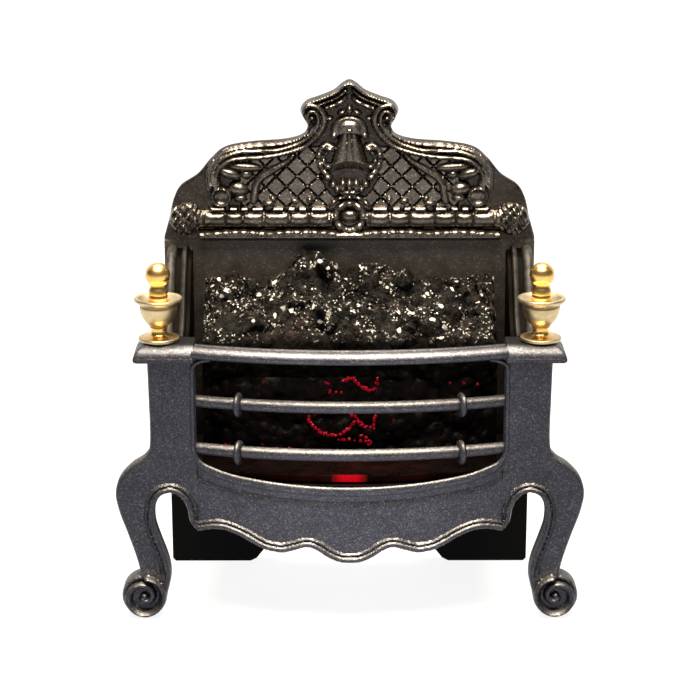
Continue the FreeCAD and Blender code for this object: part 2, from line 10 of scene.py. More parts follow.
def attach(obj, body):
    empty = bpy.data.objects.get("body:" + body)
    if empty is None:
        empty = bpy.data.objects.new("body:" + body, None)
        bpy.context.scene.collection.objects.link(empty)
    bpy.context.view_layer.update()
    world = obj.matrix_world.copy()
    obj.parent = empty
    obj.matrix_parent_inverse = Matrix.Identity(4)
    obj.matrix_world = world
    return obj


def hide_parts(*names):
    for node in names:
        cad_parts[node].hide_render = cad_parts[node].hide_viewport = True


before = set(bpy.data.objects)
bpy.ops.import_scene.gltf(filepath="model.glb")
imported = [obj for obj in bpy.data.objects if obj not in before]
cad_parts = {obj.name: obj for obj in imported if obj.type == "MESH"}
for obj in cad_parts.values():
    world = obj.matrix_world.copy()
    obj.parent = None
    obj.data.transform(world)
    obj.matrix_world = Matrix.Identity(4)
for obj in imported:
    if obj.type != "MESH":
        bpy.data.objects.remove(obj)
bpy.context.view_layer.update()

# The visual model of the miniature fire grate. Lengths are in millimetres in the CAD
# frame (+Z up, front faces -Y), and MM turns them to metres. Only the studio's backdrop,
# lamp and camera are given in metres.
MM = 0.001

# Cast front
FRONT_Y = -8.9
PLATE_T = 1.8
OPEN_HALF = 19.0
BOW = 2.95
BOW_R = (OPEN_HALF ** 2 + BOW ** 2) / (2.0 * BOW)
BOW_CENTRE_Y = FRONT_Y - BOW + BOW_R
POST_TOP_Z = 33.2
FOOT = (25.8, 2.8)
FOOT_R = 2.8
FOOT_JOIN = (26.2, 5.57)
FOOT_PROUD = 0.4
FOOT_T = 2.7
BAR_R = 0.75
BAR_INSET = 0.65
BAR_ZS = {"upper_bar": 28.1, "lower_bar": 22.0}
COLLAR_X = 13.7
COLLAR_DROP = 0.1
CAP_X = (19.2, 26.6)
CAP_Y = (-9.8, -3.6)
CAP_TOP_Z = 35.32
FINIAL = (23.5, -6.3)
BALL_Z = 43.6
BALL_R = 1.53
STEM_TOP_R = 0.98
PIN_R = 0.02
URN_FOOT_Z = 35.34
URN_INSIDE_Z = 40.3
NECK_FOOT_Z = 35.8
NECK_TOP_Z = 37.5

# Fireback and cheeks
BACK_Y = 11.1
BACK_T = 1.6
BACK_EDGE_R = 1.0
BACK_FOOT_X = (12.4, 23.6)
BACK_FOOT_R = 0.4
BACK_ARCH = (0.0, 6.84)
BACK_ARCH_R = 8.756
BACK_ARCH_DIP = 10.8
CREST_FOOT_Z = 44.0
LEDGE_Z = 45.2
PANEL_HALF = 19.1
PANEL_LOW_Z = 17.0
PANEL_PROUD = 0.12
CHEEK_X = 20.2
CHEEK_T = 1.2
CHEEK_BEAD_X = 21.2
CHEEK_ROLL_X = 22.4
CHEEK_LOW_Z = 15.7
CHEEK_FRONT_Y = -1.8

# Coal insert
COAL_HALF = 18.6
COAL_FRONT_Y = -0.9
COAL_BACK_Y = 9.6
COAL_LOW_Z = 29.0
COAL_TOP_Z = 39.6
# Below this height, behind the rail, the coal is in painted shade; above it, it has painted glints
COAL_PAINTED_SHADE_TOP_Z = 33.2
EMBER_LOW_Z = 18.0
EMBER_TRAY_T = 0.8
EMBER_LIT_Z = 19.05
EMBER_INSET = 2.25

# Distance between mesh points on the carved pieces
CASTING_STEP = 0.16
CREST_STEP = 0.15
PLAIN_STEP = 0.7

GOLD = (0.86, 0.53, 0.17)
AGED_BRASS = (0.56, 0.45, 0.27)


# ---- plane curves

def curve(points, steps=8):
    """Catmull-Rom curve through the points, as an array of (x, z)."""
    p = np.array(points, float)
    p = np.vstack([2 * p[0] - p[1], p, 2 * p[-1] - p[-2]])
    t = np.linspace(0, 1, steps, endpoint=False)[:, None]
    spans = []
    for a, b, c, d in zip(p, p[1:], p[2:], p[3:]):
        spans.append(0.5 * (2 * b + (c - a) * t + (2 * a - 5 * b + 4 * c - d) * t ** 2
                            + (3 * b - a - 3 * c + d) * t ** 3))
    return np.vstack(spans + [p[-2:-1]])


def symmetric(half, middle):
    """The points of a right half, the middle point, then the same half on the left."""
    return half + [middle] + [(-x, z) for x, z in reversed(half)]


def arc(centre, radius, start, end, steps=24):
    """Part of a circle between two angles in degrees."""
    turn = np.radians(np.linspace(start, end, steps))
    return np.stack([centre[0] + radius * np.cos(turn), centre[1] + radius * np.sin(turn)], 1)


def whole_turn(steps):
    return np.linspace(0, 2 * math.pi, steps, endpoint=False)


def leftward(path):
    """Unit vectors at right angles to a path, to its left."""
    way = np.gradient(path, axis=0)
    way /= np.hypot(*way.T)[:, None]
    return np.stack([-way[:, 1], way[:, 0]], 1)


def resample(line, step):
    """The line with its points at most step apart."""
    line = np.array(line, float)
    out = [line[:1]]
    for a, b in zip(line, line[1:]):
        count = max(1, int(np.ceil(np.hypot(*(b - a)) / step)))
        out.append(a + (b - a) * np.linspace(0, 1, count + 1)[1:, None])
    return np.vstack(out)


def nearest(points, line):
    """Distance from each point to a line, and how far along the line that is."""
    best = np.full(len(points), 1e9)
    along = np.zeros(len(points))
    run = 0.0
    for a, b in zip(line, line[1:]):
        way = b - a
        length = np.hypot(*way)
        if length < 1e-9:
            continue
        t = np.clip((points - a) @ way / length ** 2, 0, 1)
        gap = np.hypot(*(points - a - t[:, None] * way).T)
        closer = gap < best
        best[closer] = gap[closer]
        along[closer] = run + t[closer] * length
        run += length
    return best, along


def away_from(points, centre):
    return np.hypot(points[:, 0] - centre[0], points[:, 1] - centre[1])


def inside(points, loop):
    """Which of the points lie within the loop."""
    hit = np.zeros(len(points), bool)
    x, z = points.T
    for (ax, az), (bx, bz) in zip(loop, np.roll(loop, -1, 0)):
        if az != bz:
            crosses = (az > z) != (bz > z)
            hit ^= crosses & (x < (bx - ax) * (z - az) / (bz - az) + ax)
    return hit


def ridge(gap, half, height):
    """Height of a half-round line at this distance from its middle."""
    return height * np.sqrt(np.clip(1 - (gap / half) ** 2, 0, 1))


def dome(points, x, z, rx, rz, height, tilt=0.0):
    """Height of a half-ellipsoid lump, its long side turned by the tilt in degrees."""
    turn = math.radians(tilt)
    dx, dz = points[:, 0] - x, points[:, 1] - z
    u = (dx * math.cos(turn) + dz * math.sin(turn)) / rx
    v = (dz * math.cos(turn) - dx * math.sin(turn)) / rz
    return height * np.sqrt(np.clip(1 - u ** 2 - v ** 2, 0, 1))


def rounding(gap, radius):
    """How far a surface falls away beside an edge rounded to this radius."""
    near = np.clip(radius - gap, 0, radius)
    return radius - np.sqrt(radius ** 2 - near ** 2)


def smoothstep(value, low, high):
    """Eases from 0 at low to 1 at high."""
    t = np.clip((value - low) / (high - low), 0, 1)
    return t * t * (3 - 2 * t)


# ---- mesh pieces

def placed(name, data):
    """A new object in the scene that shows this mesh, light or camera."""
    ob = bpy.data.objects.new(name, data)
    bpy.context.scene.collection.objects.link(ob)
    return ob


def smooth_mesh(name, verts, faces, material):
    mesh = bpy.data.meshes.new(name)
    mesh.from_pydata(verts, [], faces)
    mesh.validate()
    mesh.polygons.foreach_set("use_smooth", [True] * len(mesh.polygons))
    mesh.materials.append(material)
    return mesh


def piece(name, verts, faces, material, nodes, body="grate", slot="gunmetal_paint", sharp=35.0):
    """A mesh in the CAD frame that stands for these CAD nodes."""
    verts = (np.array(verts) * MM).tolist()
    mesh = smooth_mesh(name, verts, [list(map(int, f)) for f in faces], material)
    mesh.set_sharp_from_angle(angle=math.radians(sharp))
    ob = placed(name, mesh)
    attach(ob, body)
    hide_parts(*nodes)


def paired(side, node, kind, part, material, **finish):
    """The left (-1) or right (+1) piece of a pair, from the right one's mesh."""
    name = ("left_" if side < 0 else "right_") + node
    piece(f"{name}_{kind}", *(mirror(part) if side < 0 else part), material, [name], **finish)


def grid(loop, step, low_z=-1e9, coarse=None):
    """Points inside the loop in staggered rows, coarser below low_z and clear of its edge."""
    row_height = 0.87
    clearance = 0.55
    low, high = loop.min(0), loop.max(0)
    rows = []
    z = low[1] + step / 2
    index = 0
    while z < high[1]:
        pitch = coarse if coarse and z < low_z else step
        x = np.arange(low[0] + pitch * (0.5 if index % 2 else 1.0), high[0], pitch)
        rows.append(np.stack([x, np.full(len(x), z)], 1))
        z += pitch * row_height
        index += 1
    points = np.vstack(rows)
    points = points[inside(points, loop)]
    gap, _ = nearest(points, np.vstack([loop, loop[:1]]))
    return points[gap > step * clearance]


def triangles(loop, points):
    """Triangles that fill the loop and use every one of the points."""
    count = len(loop)
    flat = [Vector(p) for p in np.vstack([loop, points])]
    verts, _, faces, *_ = delaunay_2d_cdt(flat, [], [list(range(count))], 1, 1e-7)
    return np.array([tuple(v) for v in verts]), faces


def relief(loop, step, front, back, back_step=1.5, low_z=-1e9, coarse=None):
    """Plate with a carved front: front(points) and back(points) give each side's Y."""
    loop = resample(np.vstack([loop, loop[:1]]), step)[:-1]
    area = np.sum(loop[:, 0] * np.roll(loop[:, 1], -1) - loop[:, 1] * np.roll(loop[:, 0], -1))
    if area < 0:
        loop = loop[::-1]
    count = len(loop)
    near, near_faces = triangles(loop, grid(loop, step, low_z, coarse))
    far, far_faces = triangles(loop, grid(loop, back_step))
    verts = np.vstack([
        np.stack([near[:, 0], front(near), near[:, 1]], 1),
        np.stack([far[:, 0], back(far), far[:, 1]], 1),
    ])
    base = len(near)
    faces = [tuple(f) for f in near_faces]
    faces += [tuple(base + i for i in reversed(f)) for f in far_faces]
    for i in range(count):
        j = (i + 1) % count
        faces.append((i, base + i, base + j, j))
    return verts, faces


def loft(rings, closed=False, caps=True):
    """Skin over rings of equal length; closed joins the last ring to the first."""
    rings = np.array(rings, float)
    count, size = rings.shape[:2]
    faces = []
    for a in range(count if closed else count - 1):
        b = (a + 1) % count
        for i in range(size):
            j = (i + 1) % size
            faces.append((a * size + i, a * size + j, b * size + j, b * size + i))
    if caps and not closed:
        faces.append(tuple(reversed(range(size))))
        faces.append(tuple((count - 1) * size + i for i in range(size)))
    return rings.reshape(-1, 3), faces


def turned(profile, centre, steps=96):
    """Solid of revolution about a vertical axis, from (radius, z) points off the axis."""
    turn = whole_turn(steps)
    rings = [np.stack([centre[0] + r * np.cos(turn), centre[1] + r * np.sin(turn),
                       np.full(steps, z)], 1) for r, z in profile]
    return loft(rings)


def closed_sheet(sheet, *closing):
    """Closed skin over a sheet's rows and the rows that lead from its last to its first."""
    rows, cols = sheet.shape[:2]
    count = rows + len(closing)
    faces = []
    for row in range(count):
        here, there = row * cols, (row + 1) % count * cols
        faces += [(here + c, here + c + 1, there + c + 1, there + c) for c in range(cols - 1)]
    faces.append([row * cols for row in (*range(rows, count), *range(rows))])
    faces.append([row * cols + cols - 1 for row in reversed(range(count))])
    return np.vstack([sheet.reshape(-1, 3), *closing]), faces


def join(parts):
    """One mesh from several."""
    verts, faces, base = [], [], 0
    for v, f in parts:
        verts.append(v)
        faces += [tuple(base + i for i in face) for face in f]
        base += len(v)
    return np.vstack(verts), faces


def mirror(part):
    """The mesh on the other side of the middle."""
    verts, faces = part
    return verts * (-1, 1, 1), [tuple(reversed(f)) for f in faces]


# ---- materials

class Nodes:
    """Short names for building one material's node tree."""

    def __init__(self, name, **shader):
        self.material = bpy.data.materials.new(name)
        self.material.use_nodes = True
        self.tree = self.material.node_tree
        self.shader = self.tree.nodes["Principled BSDF"]
        for socket, value in shader.items():
            self.shader.inputs[socket.replace("_", " ")].default_value = value
        coords = self.tree.nodes.new("ShaderNodeTexCoord")
        self.mm = self.mapped(coords.outputs["Object"], (1 / MM,) * 3)
        self.x, self.y, self.z = self.add("SeparateXYZ", self.mm).outputs
        self.upward = self.add("SeparateXYZ", coords.outputs["Normal"]).outputs[2]

    def add(self, kind, source, socket="Vector", **values):
        """A node with these input values, fed by the source."""
        node = self.tree.nodes.new("ShaderNode" + kind)
        for name, value in values.items():
            node.inputs[name].default_value = value
        self.tree.links.new(source, node.inputs[socket])
        return node

    def mapped(self, source, scale):
        return self.add("Mapping", source, Scale=scale).outputs[0]

    def noise(self, scale, detail=3.0, rough=0.6, source=None, distortion=0.0):
        values = {"Scale": scale, "Detail": detail, "Roughness": rough, "Distortion": distortion}
        return self.add("TexNoise", source or self.mm, **values).outputs[0]

    def cells(self, scale):
        return self.add("TexVoronoi", self.mm, Scale=scale).outputs["Color"]

    def split(self, source):
        return self.add("SeparateColor", source, 0).outputs

    def ramp(self, source, *stops):
        node = self.tree.nodes.new("ShaderNodeValToRGB")
        band = node.color_ramp
        while len(band.elements) < len(stops):
            band.elements.new(1.0)
        for element, (place, colour) in zip(band.elements, stops):
            element.position = place
            element.color = (*colour, 1.0) if isinstance(colour, tuple) else (colour,) * 3 + (1.0,)
        self.tree.links.new(source, node.inputs[0])
        return node.outputs[0]

    def math(self, kind, a, b=0.0):
        node = self.tree.nodes.new("ShaderNodeMath")
        node.operation = kind
        for socket, value in zip(node.inputs, (a, b)):
            if isinstance(value, (int, float)):
                socket.default_value = value
            else:
                self.tree.links.new(value, socket)
        return node.outputs[0]

    def product(self, a, b):
        return self.math("MULTIPLY", a, b)

    def larger(self, a, b):
        return self.math("MAXIMUM", a, b)

    def from_middle(self):
        return self.math("ABSOLUTE", self.x)

    def span(self, value, low, high, to_low=0.0, to_high=1.0):
        """Value carried from the range low..high to the range to_low..to_high, held at its ends."""
        numbers = {"From Min": low, "From Max": high, "To Min": to_low, "To Max": to_high}
        return self.add("MapRange", value, "Value", **numbers).outputs[0]

    def fade(self, mask, clear, full):
        """A number that goes from clear to full with a mask from 0 to 1."""
        return self.span(mask, 0.0, 1.0, clear, full)

    def mix(self, kind, factor, a, b):
        node = self.tree.nodes.new("ShaderNodeMix")
        node.data_type = "RGBA"
        node.blend_type = kind
        for socket, value in ((node.inputs[0], factor), (node.inputs[6], a), (node.inputs[7], b)):
            if isinstance(value, (int, float)):
                socket.default_value = value
            elif isinstance(value, tuple):
                socket.default_value = (*value, 1.0)
            else:
                self.tree.links.new(value, socket)
        return node.outputs[2]

    def blend(self, factor, a, b):
        return self.mix("MIX", factor, a, b)

    def tint(self, a, b):
        return self.mix("MULTIPLY", 1.0, a, b)

    def bump(self, height, strength, distance, normal=None):
        node = self.add("Bump", height, "Height", Strength=strength, Distance=distance * MM)
        if normal is not None:
            self.tree.links.new(normal, node.inputs["Normal"])
        return node.outputs[0]

    def to(self, socket, value):
        self.tree.links.new(value, self.shader.inputs[socket])


def gunmetal():
    """Metallic gun-metal paint: fine grey and bronze flakes in a blue-black coat.

    Faces that turn upward carry a painted highlight, a lighter and warmer copy of the paint,
    weaker on the rail and caps. A painted reflection makes the paint lighter towards the
    middle of the front and darker on the posts, and the cap tops and the rail's top fillet
    are darker and reflect less.
    """
    m = Nodes("gunmetal_paint", Metallic=0.82, IOR=1.5)
    flakes = m.split(m.cells(7.5))
    shade = m.ramp(flakes[0], (0.0, (0.026, 0.029, 0.043)), (0.6, (0.044, 0.047, 0.068)),
                   (0.92, (0.070, 0.072, 0.090)), (0.985, (0.13, 0.128, 0.13)))
    bronze = m.ramp(flakes[1], (0.91, 0.0), (0.97, 1.0))
    shade = m.blend(m.product(bronze, 0.35), shade, (0.12, 0.088, 0.065))
    # Painted highlight: faces turned upward get a lighter, warmer copy of the paint, weaker from the
    # post tops up on the rail and caps.
    painted_highlight_strength = m.span(m.z, POST_TOP_Z - 0.2, POST_TOP_Z + 0.4, 1.0, 0.45)
    scuffs_and_painted_highlight = m.product(m.span(m.upward, 0.15, 0.75), painted_highlight_strength)
    shade = m.blend(scuffs_and_painted_highlight, shade, m.tint(shade, (2.3, 2.15, 1.7)))
    patches = m.ramp(m.noise(0.3, 3.0), (0.3, 0.78), (0.7, 1.0))
    # Darker and less reflective on the cap tops and the rail's top fillet.
    dull = m.span(m.z, CAP_TOP_Z - 0.17, CAP_TOP_Z - 0.02, 1.0, 0.25)
    # Painted reflection: the paint is lighter towards the middle of the bowed front and darker out on
    # the posts.
    shade = m.tint(shade, m.span(m.from_middle(), 6.0, 22.0, 1.4, 0.84))
    m.to("Base Color", m.tint(m.tint(shade, patches), dull))
    m.to("Specular IOR Level", m.product(dull, 0.5))
    m.to("Roughness", m.fade(flakes[2], 0.36, 0.50))
    grain = m.bump(m.noise(4.0, 4.0, 0.7), 0.5, 0.05)
    m.to("Normal", m.bump(flakes[1], 0.3, 0.02, grain))
    return m.material


def fireback_paint():
    """Dark casting paint: glossy crest with painted shade in its recesses, dull panel, matt black
    below.
    """
    m = Nodes("fireback_black", IOR=1.5)
    flakes = m.split(m.cells(7.0))
    soot = m.noise(0.45, 5.0, 0.65)
    shade = m.ramp(soot, (0.32, (0.050, 0.044, 0.039)), (0.68, (0.098, 0.088, 0.080)))
    speck = m.ramp(flakes[0], (0.0, 0.8), (0.9, 1.05), (0.97, 2.2))
    shade = m.tint(shade, speck)
    upper = m.span(m.z, PANEL_LOW_Z, PANEL_LOW_Z + 7.0)
    above = m.span(m.z, CREST_FOOT_Z, CREST_FOOT_Z + 0.3)
    crest = m.product(above, m.span(m.y, BACK_Y + 0.6, BACK_Y + 0.2))
    shade = m.tint(shade, m.fade(crest, 0.72, 1.5))
    # Painted shade: on the crest the recessed plate between the proud ornaments keeps 0.35 of the
    # colour and reflects less; the proud relief keeps it all.
    proud = m.span(m.y, BACK_Y - 0.1, BACK_Y - 0.36)
    lit = m.larger(m.fade(proud, 0.35, 1.0), m.fade(crest, 1.0, 0.0))
    matt = (0.002, 0.002, 0.002)
    m.to("Base Color", m.blend(upper, matt, m.tint(shade, lit)))
    m.to("Metallic", m.math("ADD", m.product(upper, 0.55), m.product(crest, 0.35)))
    m.to("Specular IOR Level", m.product(lit, m.fade(upper, 0.05, 0.5)))
    gloss = m.fade(crest, 0.50, 0.24)
    m.to("Roughness", m.math("ADD", gloss, m.span(soot, 0.3, 0.7, -0.06, 0.08)))
    grain = m.bump(m.noise(2.6, 5.0, 0.65), 0.5, 0.09)
    m.to("Normal", m.bump(flakes[1], 0.12, 0.012, grain))
    return m.material


def cheek_paint():
    """The same paint: painted shade, near black, on the cheeks' flats; painted highlight on beads and
    rolls.
    """
    m = Nodes("cheek_black", IOR=1.5, Metallic=0.4)
    soot = m.noise(0.8, 5.0, 0.7)
    side = m.from_middle()
    # Painted highlight: the inner bead and the outer roll are lighter and more reflective, varied by
    # the noise.
    bead = m.span(m.math("ABSOLUTE", m.math("SUBTRACT", side, CHEEK_BEAD_X)), 0.32, 0.18)
    roll = m.span(side, CHEEK_ROLL_X - 0.3, CHEEK_ROLL_X)
    scuffs_and_painted_highlight = m.product(m.larger(bead, roll), m.span(soot, 0.3, 0.6, 0.3, 1.0))
    # Painted shade: the flats between them are near black.
    painted_shade_flats = m.ramp(soot, (0.3, (0.0006, 0.0005, 0.0004)), (0.7, (0.002, 0.0017, 0.0013)))
    m.to("Base Color", m.blend(scuffs_and_painted_highlight, painted_shade_flats, (0.034, 0.032, 0.031)))
    m.to("Specular IOR Level", m.fade(scuffs_and_painted_highlight, 0.01, 0.2))
    m.to("Roughness", m.span(soot, 0.3, 0.7, 0.42, 0.6))
    m.to("Normal", m.bump(m.noise(2.6, 5.0, 0.65), 0.5, 0.08))
    return m.material


def turned_brass(name, rough, ring_strength, colour):
    """Lathe-turned brass with fine rings left by the tool, brighter on the urn's neck."""
    m = Nodes(name, Metallic=1.0)
    rings = m.noise(1.0, 3.0, 0.7, source=m.mapped(m.mm, (0.15, 0.15, 7.0)))
    stain = m.noise(0.8, 3.0)
    deep = tuple(c * 0.72 for c in colour)
    neck = m.product(m.span(m.z, NECK_FOOT_Z, NECK_FOOT_Z + 0.2),
                     m.span(m.z, NECK_TOP_Z, NECK_TOP_Z - 0.4))
    body = m.blend(m.span(stain, 0.35, 0.7), colour, deep)
    m.to("Base Color", m.blend(neck, body, GOLD))
    dull = m.span(rings, 0.3, 0.7, rough * 0.8, rough * 1.3)
    m.to("Roughness", m.product(dull, m.fade(neck, 1.0, 0.6)))
    m.to("Normal", m.bump(rings, ring_strength, 0.04))
    return m.material


def coal_material():
    """Glossy black resin coal with clusters of small painted glints and rusty patches, in painted
    shade under the rail.
    """
    m = Nodes("coal_black", IOR=1.45)
    lumps = m.noise(0.9, 6.0, 0.7)
    # Painted shade: below the rail the coal has no glints, no rust and no specular reflection; this
    # mask is 0 there.
    front = m.span(m.z, COAL_PAINTED_SHADE_TOP_Z, COAL_PAINTED_SHADE_TOP_Z + 1.0)
    rust = m.ramp(m.noise(0.28, 4.0, 0.7), (0.48, 0.0), (0.64, 1.0))
    shade = m.ramp(lumps, (0.42, (0.0008, 0.0008, 0.0008)), (0.62, (0.004, 0.0035, 0.003)),
                   (0.76, (0.012, 0.010, 0.009)))
    rusty = m.product(front, m.product(rust, m.span(lumps, 0.4, 0.7)))
    shade = m.mix("ADD", rusty, shade, (0.014, 0.006, 0.006))
    where = m.ramp(m.noise(0.42, 4.0, 0.65), (0.47, 0.0), (0.62, 1.0))
    fine = m.ramp(m.split(m.cells(5.5))[0], (0.89, 0.0), (0.96, 1.0))
    broad = m.ramp(m.split(m.cells(1.9))[0], (0.978, 0.0), (0.988, 0.9))
    # Painted glints: clustered spots of near-white colour on the coal above the rail.
    glint = m.product(m.larger(m.product(fine, where), broad), front)
    m.to("Base Color", m.blend(glint, shade, (0.62, 0.61, 0.57)))
    m.to("Specular IOR Level", m.product(front, m.span(lumps, 0.35, 0.65, 0.02, 0.14)))
    m.to("Roughness", m.span(lumps, 0.3, 0.7, 0.16, 0.4))
    rough = m.bump(m.noise(1.6, 5.0, 0.75), 0.9, 0.4)
    m.to("Normal", m.bump(m.noise(5.0, 3.0, 0.6), 0.5, 0.08, rough))
    return m.material


def ember_material():
    """Dark red resin under a black crust, lit faintly along its tray and middle lip."""
    m = Nodes("ember_red", IOR=1.45, Specular_IOR_Level=0.06)
    crust = m.noise(0.55, 5.0, 0.7, distortion=0.6)
    m.to("Base Color", m.ramp(crust, (0.45, (0.0006, 0.0005, 0.0005)), (0.72, (0.003, 0.001, 0.001))))
    middle = m.math("ABSOLUTE", m.math("ADD", m.x, 0.1))
    below = m.span(m.z, EMBER_LIT_Z + 0.1, EMBER_LIT_Z - 0.1)
    tray = m.product(below, m.span(m.noise(0.25, 2.0), 0.35, 0.7, 0.003, 0.02))
    tray = m.product(tray, m.span(middle, 3.0, 14.0, 1.0, 0.1))
    lip = m.product(m.span(m.y, FRONT_Y, FRONT_Y - 0.45), m.span(middle, 0.9, 2.3, 0.55, 0.0))
    spots = m.product(m.span(m.noise(1.15, 1.0), 0.72, 0.76), 0.06)
    spots = m.product(spots, m.span(m.z, EMBER_LIT_Z - 0.1, EMBER_LIT_Z + 0.1))
    light = m.larger(spots, m.larger(tray, lip))
    faint, strong = (0.9, 0.09, 0.05), (1.0, 0.003, 0.016)
    m.to("Emission Color", m.blend(m.span(light, 0.02, 0.2), faint, strong))
    m.to("Emission Strength", light)
    m.to("Roughness", m.span(crust, 0.3, 0.7, 0.2, 0.45))
    m.to("Normal", m.bump(m.noise(2.0, 5.0, 0.7), 0.7, 0.2))
    return m.material


def glow_material():
    """Clear red resin with the lamp's light in it."""
    m = Nodes("ember_glow", IOR=1.45, Roughness=0.3, Specular_IOR_Level=0.1)
    depth = m.noise(2.2, 3.0)
    m.to("Base Color", m.ramp(depth, (0.3, (0.03, 0.0, 0.0)), (0.7, (0.12, 0.001, 0.004))))
    m.to("Emission Color", m.ramp(depth, (0.3, (0.6, 0.0, 0.02)), (0.7, (0.9, 0.004, 0.045))))
    m.to("Emission Strength", m.span(depth, 0.35, 0.65, 0.02, 0.28))
    return m.material


def lamp_glass():
    """Red glass of the lit lamp."""
    m = Nodes("lamp_glass", IOR=1.45, Roughness=0.05)
    m.to("Base Color", m.ramp(m.noise(1.5), (0.3, (0.6, 0.08, 0.04)), (0.7, (0.9, 0.2, 0.1))))
    m.to("Emission Color", m.ramp(m.noise(0.8), (0.3, (1.0, 0.1, 0.05)), (0.7, (1.0, 0.3, 0.12))))
    m.shader.inputs["Emission Strength"].default_value = 1.2
    return m.material


def lamp_metal():
    """Drawn and plated steel."""
    m = Nodes("lamp_metal", Metallic=1.0)
    drawn = m.noise(1.0, 4.0, 0.7, source=m.mapped(m.mm, (8.0, 0.4, 8.0)))
    m.to("Base Color", m.ramp(drawn, (0.3, (0.42, 0.42, 0.43)), (0.7, (0.62, 0.62, 0.63))))
    m.to("Roughness", m.span(drawn, 0.3, 0.7, 0.25, 0.45))
    m.to("Normal", m.bump(drawn, 0.2, 0.02))
    return m.material


def lamp_bush():
    """Matt black rubber of the bush that the lead would leave by."""
    m = Nodes("lamp_bush")
    scuffs_and_painted_highlight = m.noise(3.0, 4.0)
    m.to("Base Color", m.ramp(scuffs_and_painted_highlight, (0.3, 0.012), (0.7, 0.035)))
    m.to("Roughness", m.span(scuffs_and_painted_highlight, 0.3, 0.7, 0.55, 0.8))
    m.to("Normal", m.bump(scuffs_and_painted_highlight, 0.3, 0.03))
    return m.material


PAINT = gunmetal()
BACK_PAINT = fireback_paint()
CHEEK_PAINT = cheek_paint()
BALL_BRASS = turned_brass("ball_brass", 0.27, 0.10, GOLD)
URN_BRASS = turned_brass("urn_brass", 0.36, 0.55, AGED_BRASS)
COAL = coal_material()
EMBER = ember_material()
GLOW = glow_material()
METAL = lamp_metal()


# ---- cast front

def bow_y(x, proud=0.0):
    """Y of the bowed front at this X, standing proud of it by this much."""
    radius = BOW_R + proud
    flat = FRONT_Y - proud
    bowed = BOW_CENTRE_Y - np.sqrt(radius ** 2 - np.clip(np.abs(x), 0, OPEN_HALF) ** 2)
    return np.where(np.abs(x) > OPEN_HALF, flat, bowed)


LEG_OUTER = curve([
    (24.9, POST_TOP_Z), (24.8, 29.0), (24.75, 22.8), (25.4, 21.1), (27.1, 19.9), (28.6, 18.2),
    (29.15, 16.2), (28.75, 13.8), (27.75, 10.9), (26.75, 7.8), FOOT_JOIN,
])
LEG_INNER = curve([
    (23.0, 2.8), (22.45, 5.2), (22.7, 7.5), (23.6, 10.2), (24.25, 12.4), (24.25, 14.4),
    (23.6, 15.8), (22.3, 16.3), (21.1, 15.7), (20.3, 14.3), (19.9, 12.4), (19.0, 11.3),
])
APRON_HALF = [
    (19.0, 11.3), (17.4, 11.75), (15.7, 11.85), (13.7, 11.2), (12.1, 10.35), (10.4, 9.6),
    (8.4, 9.35), (6.8, 9.75), (5.3, 10.15), (4.1, 9.75), (2.9, 8.95), (1.4, 8.3),
]
APRON_LOW = curve(symmetric(APRON_HALF, (0, 8.15)))
RIM_HALF = [(19.0, 21.2), (18.55, 20.1), (17.3, 19.35), (14.6, 18.6), (9.8, 17.95), (4.9, 17.55)]
RIM = curve(symmetric(RIM_HALF, (0, 17.4)))


def bead(gap):
    """The double line along the casting's edges: a roll with a thin ridge beside it."""
    return np.maximum(ridge(np.abs(gap - 0.42), 0.42, 0.5), ridge(np.abs(gap - 1.08), 0.2, 0.3))


def coil(centre, radii, start, turns, steps=60):
    """Spiral line that winds in from the first radius to the last."""
    t = np.linspace(0, 1, steps)
    radius = np.interp(t, np.linspace(0, 1, len(radii)), radii)
    turn = math.radians(start) + t * turns * 2 * math.pi
    return np.stack([centre[0] + radius * np.cos(turn), centre[1] + radius * np.sin(turn)], 1)


FOOT_COIL = coil(FOOT, (2.36, 2.34, 2.3, 2.1, 1.6, 1.2, 0.85, 0.5), 100, 1.55)


def volute(points):
    """Height of the scroll carved on a foot."""
    gap, _ = nearest(points, FOOT_COIL)
    dish = -0.4 * smoothstep(-away_from(points, FOOT), -2.5, -2.0)
    return np.maximum(dish + ridge(gap, 0.44, 0.9), dish + dome(points, *FOOT, 0.5, 0.5, 0.85))


def leg(side):
    """Post, knee, leg and scrolled foot in one casting."""
    start = math.degrees(math.atan2(FOOT_JOIN[1] - FOOT[1], FOOT_JOIN[0] - FOOT[0]))
    foot = arc(FOOT, FOOT_R, start, -180.0, 40)
    loop = np.vstack([LEG_OUTER, foot[1:-1], LEG_INNER, [(OPEN_HALF, POST_TOP_Z)]])
    edge = np.vstack([LEG_OUTER, foot, LEG_INNER[1:]])

    def front(points):
        around, _ = nearest(points, edge)
        arch, _ = nearest(points, LEG_INNER)
        away = away_from(points, FOOT)
        height = bead(arch) * smoothstep(away, 2.3, 3.3) - rounding(around, 0.45)
        height += FOOT_PROUD * smoothstep(-away, -3.9, -2.6) + volute(points)
        return FRONT_Y - height

    def back(points):
        swell = smoothstep(-away_from(points, FOOT), -4.2, -3.0)
        thick = PLATE_T + (FOOT_T - FOOT_PROUD - PLATE_T) * swell
        return FRONT_Y + thick

    paired(side, "leg", "casting", relief(loop, CASTING_STEP, front, back), PAINT)


